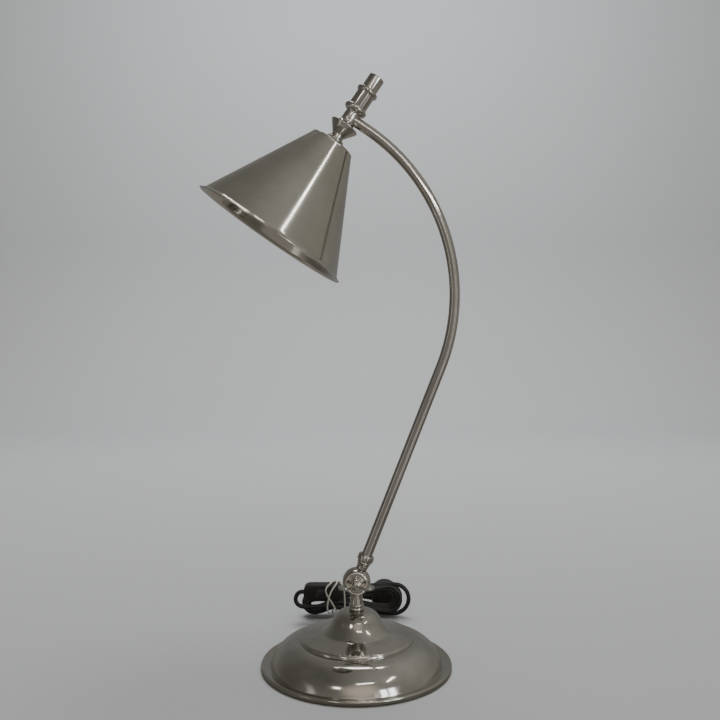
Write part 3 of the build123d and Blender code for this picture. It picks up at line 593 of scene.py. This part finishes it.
headShape = {
    "headBody": ("head_body", [
        (0, -9), (12.6, -9, -1.9), (7.3, -2.2), (7.3, 3.4, -0.6), (8.6, 6.65, 2.8), (8.6, 12.35),
        (0, 12.35)]),
    "headHandle": ("head_handle", [
        (0, 12.35), (8.85, 12.35), (8.85, 26.9, 1.85), (8.85, 31.7), (7.8, 31.7), (7.8, 45.2, 0.23),
        (7.0, 46), (0, 46)]),
    "headCup": ("head_cup", [
        (0, -20), (6.6, -20), (14.1, -9.9), (14.1, -9), (0, -9)]),
    "shadeCollar": ("shade_collar", [
        (0, -29.3), (7.6, -29.3), (7.6, -27.4), (7.75, -27.4, 0.9), (7.75, -23.6), (6.2, -23.6),
        (6.2, -20), (0, -20)]),
}
headEdge = 0.35
for name, (node, outline) in headShape.items():
    dress(turnPiece(name, outline, onHead, edge=headEdge), headNickel, "head", node)
print("head turned")


# Shade, a spun cone with a flared lip

shadeShape = {
    "outline": [
        (4.1, -30.2), (20.4, -30.2, -0.32), (21.38, -31.3), (72.7, -131.9, 0.7), (77.7, -135.7),
        (78.6, -135.7), (78.6, -134.8, -0.7), (73.7, -131.0), (22.4, -31.3, 0.586), (20.4, -29.3),
        (4.1, -29.3),
    ],
    "steps": 192, "edge": 0.25,
}


def mapRound(piece, place):
    # UV map of a turned piece: u runs along it, v runs round it
    back = place.inverted()
    layer = piece.data.uv_layers.new(name="spun")
    for face in piece.data.polygons:
        middle = back @ face.center
        middleTurn = math.atan2(middle.y, middle.x)
        for loop in face.loop_indices:
            point = back @ piece.data.vertices[piece.data.loops[loop].vertex_index].co
            turn = math.atan2(point.y, point.x)
            turn += 2 * math.pi * round((middleTurn - turn) / (2 * math.pi))
            layer.data[loop].uv = (point.xy.length - point.z, turn / (2 * math.pi))


shadePiece = turnPiece("shadeCone", shadeShape["outline"], onHead, True,
                       shadeShape["steps"], shadeShape["edge"])
mapRound(shadePiece, onHead)
dress(shadePiece, shadeNickel, "head", "shade")
print("shade spun")


# Lampholder and bulb inside the shade

lampShape = {
    "cap": [
        (4.1, -33.2), (9, -33.2, -0.5), (13, -37), (13, -43.2), (11.4, -43.2), (11.4, -39.2), (4.1, -39.2),
    ],
    "bodyTop": -43.2, "bodyMouth": -69.2, "bodyRadius": 13.0, "bore": 8.1, "boreTop": -47.2,
    "ribs": 5, "ribStart": -50.0, "ribStep": 2.6, "ribDeep": 0.7, "ribWide": 1.0, "ribEdge": 0.2,
    "bulb": [
        (0, -126.2, 6.59), (22.5, -103.7, 1.36), (17.24, -89.24, -0.29), (9.5, -78.2), (6.4, -69.2),
        (0, -69.2),
    ],
}


def holderOutline():
    outer = lampShape["bodyRadius"]
    outline = [(0, lampShape["bodyTop"]), (outer, lampShape["bodyTop"])]
    for n in range(lampShape["ribs"]):
        top = lampShape["ribStart"] - n * lampShape["ribStep"]
        low = top - lampShape["ribWide"]
        inner = outer - lampShape["ribDeep"]
        outline += [(outer, top), (inner, top), (inner, low), (outer, low)]
    mouth = lampShape["bodyMouth"]
    outline += [(outer, mouth), (lampShape["bore"], mouth), (lampShape["bore"], lampShape["boreTop"])]
    return outline + [(0, lampShape["boreTop"])]


holderCap = turnPiece("lampholderCap", lampShape["cap"], onHead, True)
dress(holderCap, holderMoulding, "head", "lampholder_cap")
holderBody = turnPiece("lampholderBody", holderOutline(), onHead, edge=lampShape["ribEdge"])
dress(holderBody, holderMoulding, "head", "lampholder_body")
bulbGlass = turnPiece("bulbGlass", lampShape["bulb"], onHead)
dress(bulbGlass, opalGlass, "head", "bulb_glass")
print("lampholder and bulb turned")


# Cord gland, a tapered rubber sleeve with grooves that let it bend

glandShape = {
    "height": 12.0, "flange": [(0, 59.6), (6.5, 59.6), (6.5, 62.1), (4.8, 62.1), (4.8, 82)],
    "tip": (3.3, 100),
    "grooves": 5, "grooveStart": 1.5, "grooveStep": 3.0, "grooveWide": 1.2, "grooveDeep": 0.7,
    "steps": 64, "edge": 0.25,
}


def glandOutline():
    outline = list(glandShape["flange"])
    startRadius, start = outline[-1]
    endRadius, end = glandShape["tip"]

    def radiusAt(y):
        return startRadius + (endRadius - startRadius) * (y - start) / (end - start)

    for n in range(glandShape["grooves"]):
        near = start + glandShape["grooveStart"] + n * glandShape["grooveStep"]
        far = near + glandShape["grooveWide"]
        deep = glandShape["grooveDeep"]
        outline += [(radiusAt(near), near), (radiusAt(near) - deep, near)]
        outline += [(radiusAt(far) - deep, far), (radiusAt(far), far)]
    return outline + [(endRadius, end), (0, end)]


glandPlace = Matrix.Translation((0, 0, glandShape["height"] * mm)) @ toBack
glandPiece = turnPiece("cordGland", glandOutline(), glandPlace,
                       steps=glandShape["steps"], edge=glandShape["edge"])
dress(glandPiece, cordSheath, "base", "cord_gland")
print("gland moulded")


# In-line switch: two moulded halves, with a window for the rocker

switchShape = {
    "middle": Vector((-37.4, 119.5, 33.4)) * mm, "length": 43.0, "height": 18.0, "halfDepth": 7.0,
    "corner": 7.0, "cornerSteps": 14, "round": 1.4, "roundSteps": 5, "seam": 0.3,
    "windowLength": 13.8, "windowHeight": 8.5, "windowDepth": 5.0, "windowRound": 0.8, "rockerEdge": 0.4,
}


def makeSwitchHalf(name, side):
    # side is -1 in front and 1 behind; the face that shows is rounded more than the seam
    depth = switchShape["halfDepth"] * mm
    onFace = depth / 50    # an edge nearer than this to a face lies in it
    bpy.ops.object.select_all(action="DESELECT")
    bpy.ops.mesh.primitive_cube_add(size=1, location=(0, side * depth / 2, 0))
    half = bpy.context.object
    half.name = name
    half.scale = (switchShape["length"] * mm, depth, switchShape["height"] * mm)
    bpy.ops.object.transform_apply(location=True, scale=True)
    pickEdges(half, lambda p, q: abs(p.y - q.y) > depth / 2)
    bpy.ops.mesh.bevel(offset=switchShape["corner"] * mm, segments=switchShape["cornerSteps"], affect="EDGES")
    bpy.ops.object.mode_set(mode="OBJECT")
    for place, width in ((side * depth, switchShape["round"]), (0, switchShape["seam"])):
        pickEdges(half, lambda p, q: abs(p.y - place) + abs(q.y - place) < onFace)
        bpy.ops.mesh.bevel(offset=width * mm, segments=switchShape["roundSteps"], affect="EDGES")
        bpy.ops.object.mode_set(mode="OBJECT")
    smoothFaces()
    return half


def cutWindow(half):
    bpy.ops.object.select_all(action="DESELECT")
    bpy.ops.mesh.primitive_cube_add(size=1, location=(0, -switchShape["halfDepth"] * mm, 0))
    window = bpy.context.object
    window.scale = [switchShape["window" + side] * mm for side in ("Length", "Depth", "Height")]
    bpy.ops.object.transform_apply(location=False, scale=True)
    easeEdges(window, switchShape["windowRound"])
    cutOrAdd(half, window, "DIFFERENCE")


switchFront = makeSwitchHalf("switchFront", -1)
cutWindow(switchFront)
switchBack = makeSwitchHalf("switchBack", 1)
for half, node in ((switchFront, "switch_cover"), (switchBack, "switch_base")):
    setPlace(half, Matrix.Translation(switchShape["middle"]))
    dress(half, blackMoulding, "base", node)


def easedCopy(name, node, width):
    # a node's own solid, merged and with its edges eased
    piece = bpy.data.objects.new(name, frame["nodes"][node].data.copy())
    bpy.context.scene.collection.objects.link(piece)
    pickOnly(piece)
    bpy.ops.object.mode_set(mode="EDIT")
    bpy.ops.mesh.select_all(action="SELECT")
    bpy.ops.mesh.remove_doubles(threshold=fineness["mergeGap"] * mm)
    bpy.ops.mesh.dissolve_limited(angle_limit=math.radians(fineness["flatDegrees"]))
    bpy.ops.object.mode_set(mode="OBJECT")
    easeEdges(piece, width)
    return piece


rockerPiece = easedCopy("switchRocker", "switch_rocker", switchShape["rockerEdge"])
dress(rockerPiece, blackMoulding, "rocker", "switch_rocker")
print("switch moulded")


# Plug, round, with a boot at its side and two pins to the back

plugShape = {
    "place": Vector((32, 151.5, 16.3)) * mm,
    "body": [(0, 0), (7, 0, 2.6), (16, 9), (16, 22.5), (14.5, 24), (0, 24)],
    "bootHeight": 10.0,
    "boot": [
        (0, 8), (5, 8), (5, 18), (4.3, 18.4), (4.3, 19.4), (4.6, 19.8), (4.45, 21), (3.9, 21.4), (3.9, 22.4),
        (4.2, 22.8), (4.0, 24), (3.5, 24.4), (3.5, 25.4), (3.8, 25.8), (3.4, 30), (0, 30),
    ],
    "pin": [(0, 23), (2.4, 23), (2.4, 41.4, 0.5), (0.9, 43), (0, 43)],
    "pinPitch": 19.0,
    "bodyEdge": 0.5, "bootEdge": 0.2, "bootSteps": 64, "pinEdge": 0.2, "pinSteps": 48,
}
plugPlace = Matrix.Translation(plugShape["place"])
plugPiece = turnPiece("plugBody", plugShape["body"], plugPlace @ toBack, edge=plugShape["bodyEdge"])
bootPlace = plugPlace @ Matrix.Translation((0, plugShape["bootHeight"] * mm, 0)) @ toLeft
plugBoot = turnPiece("plugBoot", plugShape["boot"], bootPlace,
                     steps=plugShape["bootSteps"], edge=plugShape["bootEdge"])
cutOrAdd(plugPiece, plugBoot, "UNION")
dress(plugPiece, blackMoulding, "base", "plug_body")
plugPins = []
for side in (-0.5, 0.5):
    pinPlace = plugPlace @ Matrix.Translation((side * plugShape["pinPitch"] * mm, 0, 0)) @ toBack
    plugPins.append(turnPiece("plugPins", plugShape["pin"], pinPlace,
                              steps=plugShape["pinSteps"], edge=plugShape["pinEdge"]))
pinPiece = joinPieces(plugPins)
dress(pinPiece, prongNickel, "base", "plug_prongs")
print("plug moulded")


# Cords

sheath = {"radius": 2.3, "ringSteps": 6, "spanSteps": 8, "order": 3}
leadRoute = [
    (0, 100, 12), (0, 107, 12), (-2.9, 113.8, 12.3), (-8.1, 119.0, 13.0), (-15, 121.8, 14.2),
    (-25.5, 122.1, 15.8), (-37.5, 121.2, 17.0), (-49.5, 120.2, 16.6), (-59.5, 119.5, 16.2),
    (-66.4, 119.5, 19.2), (-68.6, 119.5, 25.4), (-66.2, 119.5, 31.2), (-62.2, 119.5, 33.4),
    (-58.9, 119.5, 33.4),
]
hank = {
    "left": -62.0, "right": 57.7, "waistX": -20.0, "waistZ": 22.0, "frontY": 131.0, "floorZ": 2.4,
    "leftHalf": 13.0, "rightHalf": 18.5, "waistHalf": 10.2, "loopStep": 5.7,
    "layers": 4, "layerStep": 5.1, "layerTurns": 1.5, "spiralLead": 0.25, "climbTurn": 0.5,
    "start": 0.375, "end": 5.125, "pointsPerTurn": 24,
    "rightSlack": [-4.5, -5.5, 2.5, -4.0, -6.0],    # how far each loop's free end stands out
    "fromSwitch": [
        (-15.9, 119.5, 33.4), (-11.3, 119.5, 33.4), (2, 121, 33.6), (15, 125, 34.4), (28, 129.4, 35.4),
    ],
    "toPlug": [
        (-40, 146.8, 24.6), (-30, 149.4, 23.2), (-20, 156, 18.9), (-11, 160.6, 16.6), (-2.6, 161.5, 16.3),
        (2, 161.5, 16.3),
    ],
}


def smoothShare(share):
    share = min(max(share, 0), 1)
    return share * share * (3 - 2 * share)


def hankPoint(turn):
    # loops that spiral in and out in layers; a turn starts at the left end and goes over the top
    phase = (turn + hank["spiralLead"]) / hank["layerTurns"]
    inward = int(phase) % 2 == 0
    share = phase % 1 if inward else 1 - phase % 1
    inset = hank["layerTurns"] * hank["loopStep"] * share
    eighth = (turn % 1) * 8
    over = 1 if eighth < 4 else -1
    place = eighth % 4
    atLeft = (place < 2) == (over > 0)
    half = hank["leftHalf"] if atLeft else hank["rightHalf"]
    slack = 0 if atLeft else hank["rightSlack"][min(int(turn), len(hank["rightSlack"]) - 1)]
    endX = hank["left"] + half if atLeft else hank["right"] - half + slack
    endZ = hank["floorZ"] + half
    lobe = half - inset
    if place < 1 or place > 3:
        angle = (1 - place if place < 1 else place - 3) * math.pi / 2
        x = endX + (-1 if atLeft else 1) * lobe * math.sin(angle)
        z = endZ + over * lobe * math.cos(angle)
    else:
        near = smoothShare(abs(place - 2))
        x = hank["waistX"] + abs(place - 2) * (endX - hank["waistX"])
        waistZ = hank["waistZ"] + over * (hank["waistHalf"] - inset)
        z = waistZ + (endZ + over * lobe - waistZ) * near
    y = hank["frontY"]
    for layer in range(1, hank["layers"]):
        climbStart = layer * hank["layerTurns"] - hank["climbTurn"]
        y += hank["layerStep"] * smoothShare((turn - climbStart) / hank["climbTurn"])
    return (x, y, z)


def hankRoute():
    first = round(hank["start"] * hank["pointsPerTurn"])
    last = round(hank["end"] * hank["pointsPerTurn"])
    turns = [hankPoint(n / hank["pointsPerTurn"]) for n in range(first, last + 1)]
    return hank["fromSwitch"] + turns + hank["toPlug"]


def makeCord(name, route, radius):
    # one open NURBS spline with the route's points as its control points
    curve = bpy.data.curves.new(name, "CURVE")
    curve.dimensions = "3D"
    spline = curve.splines.new("NURBS")
    spline.points.add(len(route) - 1)
    for point, place in zip(spline.points, route):
        point.co = (place[0] * mm, place[1] * mm, place[2] * mm, 1)
    spline.order_u = sheath["order"]
    spline.use_endpoint_u = True
    spline.resolution_u = sheath["spanSteps"]
    spline.use_smooth = True
    curve.bevel_depth = radius * mm
    curve.bevel_resolution = sheath["ringSteps"]
    curve.use_fill_caps = True
    cord = bpy.data.objects.new(name, curve)
    bpy.context.scene.collection.objects.link(cord)
    return cord


cordLead = makeCord("cordLead", leadRoute, sheath["radius"])
dress(cordLead, cordSheath, "base", "cord_lead")
cordHank = makeCord("cordHank", hankRoute(), sheath["radius"])
dress(cordHank, cordSheath, "base", "cord_hank")
print("cords laid")


# White elastic that is wound three times round the hank and the switch

tie = {
    "radius": 0.85,
    "route": [
        (-24, 146, 36.8), (-26, 132, 41.6), (-27.5, 122, 43.6), (-29.5, 114.2, 43.5), (-33.6, 111.0, 40.2),
        (-34.6, 110.2, 36.5), (-32.0, 109.2, 31), (-28.4, 110.4, 25.4), (-24.6, 112.2, 18.5),
        (-22.4, 115, 11.6), (-22.4, 121.5, 8.4), (-23, 132, 7.6), (-24, 146, 7.6), (-25, 155, 9.4),
        (-25.2, 159, 15), (-25, 158.4, 23), (-24.4, 153, 31), (-23, 142, 38.6), (-22.2, 128, 43.2),
        (-22.0, 117, 44.0), (-23.2, 112.2, 43.2), (-27.6, 109.0, 38), (-30.2, 107.5, 32), (-31.8, 108.0, 25),
        (-32.6, 111.6, 17.5), (-31.4, 114.5, 10.6), (-29, 121.5, 7.2), (-28, 132, 6.0), (-27, 146, 6.0),
        (-26.6, 157, 8.2), (-27, 161, 15), (-27, 160.4, 24), (-25.4, 154, 32.6), (-20.6, 142, 38.2),
        (-17.2, 130, 40.6), (-15.2, 121, 39.4), (-14.2, 116.2, 35.2), (-13.6, 115.2, 28),
        (-13.2, 115.8, 18.5), (-14, 118.5, 10.6), (-17, 125, 7.8), (-20, 134, 7.4), (-21.4, 146, 7.4),
        (-22, 156, 9.0), (-22.4, 159.6, 14), (-22.6, 159.4, 20),
    ],
}
cordTie = makeCord("cordTie", tie["route"], tie["radius"])
dress(cordTie, whiteElastic, "base", "cord_tie")
print("tie wound")


# Cords, plug and switch, left out of the metal's reflections

switchPieces = [switchFront, switchBack, rockerPiece]
switchPieces += [frame["nodes"][node] for node in ("switch_screws", "switch_pivot", "switch_contacts")]
for piece in (cordLead, cordHank, plugPiece, pinPiece, *switchPieces):
    piece.visible_glossy = False    # left out of the metal's reflections


# Floor, backdrop and light

stage = {
    "floorSize": 12.0, "backY": 3.2, "wallHeight": 2.3, "cove": 0.9, "coveSteps": 12,
    "pale": (0.585, 0.603, 0.625), "paleShade": (0.54, 0.556, 0.577),
    "cloudScale": 0.8, "cloudDetail": 3.0, "rough": 0.85, "shine": 0.15,
    "cardMiddle": (0, 0.05, 0.0003), "cardSize": (2.4, 0.5), "cardTone": (0.20, 0.195, 0.172),
    "cardRough": 0.9,
}


def makeStage():
    bpy.ops.object.select_all(action="DESELECT")
    floorMiddle = (0, stage["backY"] - stage["floorSize"] / 2, 0)
    bpy.ops.mesh.primitive_plane_add(size=stage["floorSize"], location=floorMiddle)
    floor = bpy.context.object
    floor.name = "paleFloor"
    bpy.ops.object.transform_apply(location=True)
    pickEdges(floor, lambda p, q: min(p.y, q.y) > stage["backY"] - mm)
    bpy.ops.mesh.extrude_region_move(TRANSFORM_OT_translate={"value": (0, 0, stage["wallHeight"])})
    bpy.ops.object.mode_set(mode="OBJECT")
    bend = floor.modifiers.new("cove", "BEVEL")
    bend.width = stage["cove"]
    bend.segments = stage["coveSteps"]
    bend.limit_method = "ANGLE"
    bpy.ops.object.modifier_apply(modifier=bend.name)
    bpy.ops.object.shade_smooth()
    material, tree, shader = startMaterial("palePaper")
    clouds = noiseOn(tree, localCoords(tree), stage["cloudScale"], stage["cloudDetail"])
    tree.links.new(mixColours(tree, clouds, stage["paleShade"], stage["pale"]), shader.inputs["Base Color"])
    shader.inputs["Roughness"].default_value = stage["rough"]
    shader.inputs["Specular IOR Level"].default_value = stage["shine"]
    floor.data.materials.append(material)
    floor.visible_glossy = False


def makeCard():
    # a dark card round the base that only mirrors see, so that the polished metal keeps its depth
    bpy.ops.object.select_all(action="DESELECT")
    bpy.ops.mesh.primitive_plane_add(size=1, location=stage["cardMiddle"])
    card = bpy.context.object
    card.name = "darkCard"
    card.scale = (*stage["cardSize"], 1)
    bpy.ops.object.transform_apply(location=True, scale=True)
    material, _, shader = startMaterial("cardPaper")
    shader.inputs["Base Color"].default_value = (*stage["cardTone"], 1)
    shader.inputs["Roughness"].default_value = stage["cardRough"]
    card.data.materials.append(material)
    card.visible_camera = False
    card.visible_diffuse = False
    card.visible_transmission = False
    card.visible_shadow = False


bulbWhite = (1.0, 0.98, 0.95)
tubeWhite = (1.0, 0.985, 0.96)
skyWhite = (0.88, 0.93, 1.0)
lamps = {
    # name: place, point aimed at, roll in degrees, width, height, power, colour, seen in reflections
    "overhead": ((0.1, 0.9, 2.6), (0, 0.9, 0.0), 0, 2.2, 1.6, 38, (1.0, 0.985, 0.965), False),
    "wallWash": ((0.0, 1.6, 2.9), (0, 3.2, 1.0), 0, 3.0, 0.6, 40, (0.97, 0.985, 1.0), False),
    "backStrip": ((-0.08, 0.65, 2.05), (-0.08, -0.06, 0.02), 0, 0.74, 0.08, 3.2, bulbWhite, True),
    "backStripEnd": ((0.515, 0.65, 2.05), (0.515, -0.06, 0.02), 0, 0.17, 0.08, 0.7, bulbWhite, True),
    "sideTube": ((1.18, -0.69, 1.575), (0, 0, 0.27), 26, 0.52, 0.032, 1.4, tubeWhite, True),
    "armStrip": ((0.595, -1.255, 0.965), (0.065, 0, 0.455), 21, 1.32, 0.06, 4.5, tubeWhite, True),
    "frontTube": ((0.18, -0.70, 0.875), (0.01, -0.07, 0.02), 0, 0.36, 0.022, 0.32, bulbWhite, True),
    "leftLamp": ((-0.85, -1.64, 1.31), (0, -0.07, 0.02), 0, 0.3, 0.14, 1.2, bulbWhite, True),
    "lowLamp": ((-0.507, -1.358, 0.124), (0, -0.05, 0.03), 0, 0.10, 0.10, 0.35, bulbWhite, True),
    "windowLeft": ((0.83, -1.20, 0.40), (0, -0.07, 0.02), 0, 0.19, 0.58, 1.9, skyWhite, True),
    "windowRight": ((1.05, -1.02, 0.40), (0, -0.07, 0.02), 0, 0.19, 0.58, 1.9, skyWhite, True),
}
offTheArm = ("windowLeft", "windowRight", "sideTube", "lowLamp")    # lamps that the arm doesn't mirror


def makeLamps():
    for name, (place, aim, roll, width, height, power, colour, seen) in lamps.items():
        bpy.ops.object.light_add(type="AREA", location=place)
        lamp = bpy.context.object
        lamp.name = name
        lamp.data.shape = "RECTANGLE"
        lamp.data.size = width
        lamp.data.size_y = height
        lamp.data.energy = power
        lamp.data.color = colour
        facing = (Vector(aim) - Vector(place)).to_track_quat("-Z", "Y").to_matrix()
        lamp.rotation_euler = (facing @ Matrix.Rotation(math.radians(roll), 3, "Z")).to_euler()
        lamp.visible_glossy = seen
        lamp.visible_diffuse = not seen
        lamp.visible_camera = False


def linkLamp(name, piece, state):
    # the lamp lights this piece alone, or all but this piece
    group = bpy.data.collections.new(name + "Pieces")
    group.objects.link(piece)
    group.collection_objects[0].light_linking.link_state = state
    bpy.data.objects[name].light_linking.receiver_collection = group


room = {
    "left": (0.13, 0.122, 0.11), "right": (0.30, 0.287, 0.257), "front": (0.25, 0.24, 0.222),
    "back": (0.21, 0.207, 0.20), "topLeft": (0.14, 0.137, 0.125), "topRight": (0.40, 0.39, 0.365),
    "below": (0.27, 0.25, 0.232),
    "glow": (0.72, 0.64, 0.56), "glowAim": (0.10, -0.88, 0.46), "glowEdge": 27.0, "glowHeart": 10.0,
    "stripe": (1.25, 1.2, 1.15), "stripePlaces": (-0.84, 0.42, 0.74), "stripeFade": (0.03, 0.065),
    # between which values of a direction's x, y or z one tone fades into another
    "rightFade": (-0.8, 0.8), "overRightFade": (-0.5, 0.5), "frontFade": (-0.9, -0.1),
    "backFade": (0.3, 0.9), "topFade": (0.25, 0.85), "floorFade": (-0.22, -0.1), "lowFade": (0.2, 0.5),
}


def stripeAt(tree, value, place):
    # one near the place, and nothing away from it
    away = mathOn(tree, "ABSOLUTE", mathOn(tree, "SUBTRACT", value, place))
    return spreadOver(tree, away, 1.0, 0.0, *room["stripeFade"])


def makeRoom():
    # a dim room, darker to the left, with bright upright stripes and a warm glow behind the camera
    world = bpy.data.worlds.new("dimRoom")
    world.use_nodes = True
    bpy.context.scene.world = world
    tree = world.node_tree
    coords = addNode(tree, "TexCoord")
    split = addNode(tree, "SeparateXYZ")
    tree.links.new(coords.outputs["Generated"], split.inputs["Vector"])
    x, y, z = split.outputs
    aim = addNode(tree, "VectorMath", operation="DOT_PRODUCT")
    aim.inputs[1].default_value = Vector(room["glowAim"]).normalized()
    tree.links.new(coords.outputs["Generated"], aim.inputs[0])
    glowFade = [math.cos(math.radians(room[part])) for part in ("glowEdge", "glowHeart")]
    towardsRight = spreadOver(tree, x, 0.0, 1.0, *room["rightFade"])
    overRight = spreadOver(tree, x, 0.0, 1.0, *room["overRightFade"])
    towardsFront = spreadOver(tree, y, 1.0, 0.0, *room["frontFade"])
    towardsBack = spreadOver(tree, y, 0.0, 1.0, *room["backFade"])
    towardsTop = spreadOver(tree, z, 0.0, 1.0, *room["topFade"])
    towardsFloor = spreadOver(tree, z, 1.0, 0.0, *room["floorFade"])
    towardsGlow = spreadOver(tree, aim.outputs["Value"], 0.0, 1.0, *glowFade)
    whole = mixColours(tree, towardsRight, room["left"], room["right"])
    whole = mixColours(tree, towardsFront, whole, room["front"])
    whole = mixColours(tree, towardsBack, whole, room["back"])
    ceiling = mixColours(tree, overRight, room["topLeft"], room["topRight"])
    whole = mixColours(tree, towardsTop, whole, ceiling)
    whole = mixColours(tree, towardsFloor, whole, room["below"])
    lowInFront = mathOn(tree, "MULTIPLY", towardsFront, spreadOver(tree, z, 1.0, 0.0, *room["lowFade"]))
    for place in room["stripePlaces"]:
        stripe = mathOn(tree, "MULTIPLY", lowInFront, stripeAt(tree, x, place))
        whole = mixColours(tree, stripe, whole, room["stripe"])
    whole = mixColours(tree, towardsGlow, whole, room["glow"])
    tree.links.new(whole, tree.nodes["Background"].inputs["Color"])


makeStage()
makeCard()
makeLamps()
linkLamp("armStrip", armPiece, "INCLUDE")
for name in offTheArm:
    linkLamp(name, armPiece, "EXCLUDE")
makeRoom()
print("stage and light set")
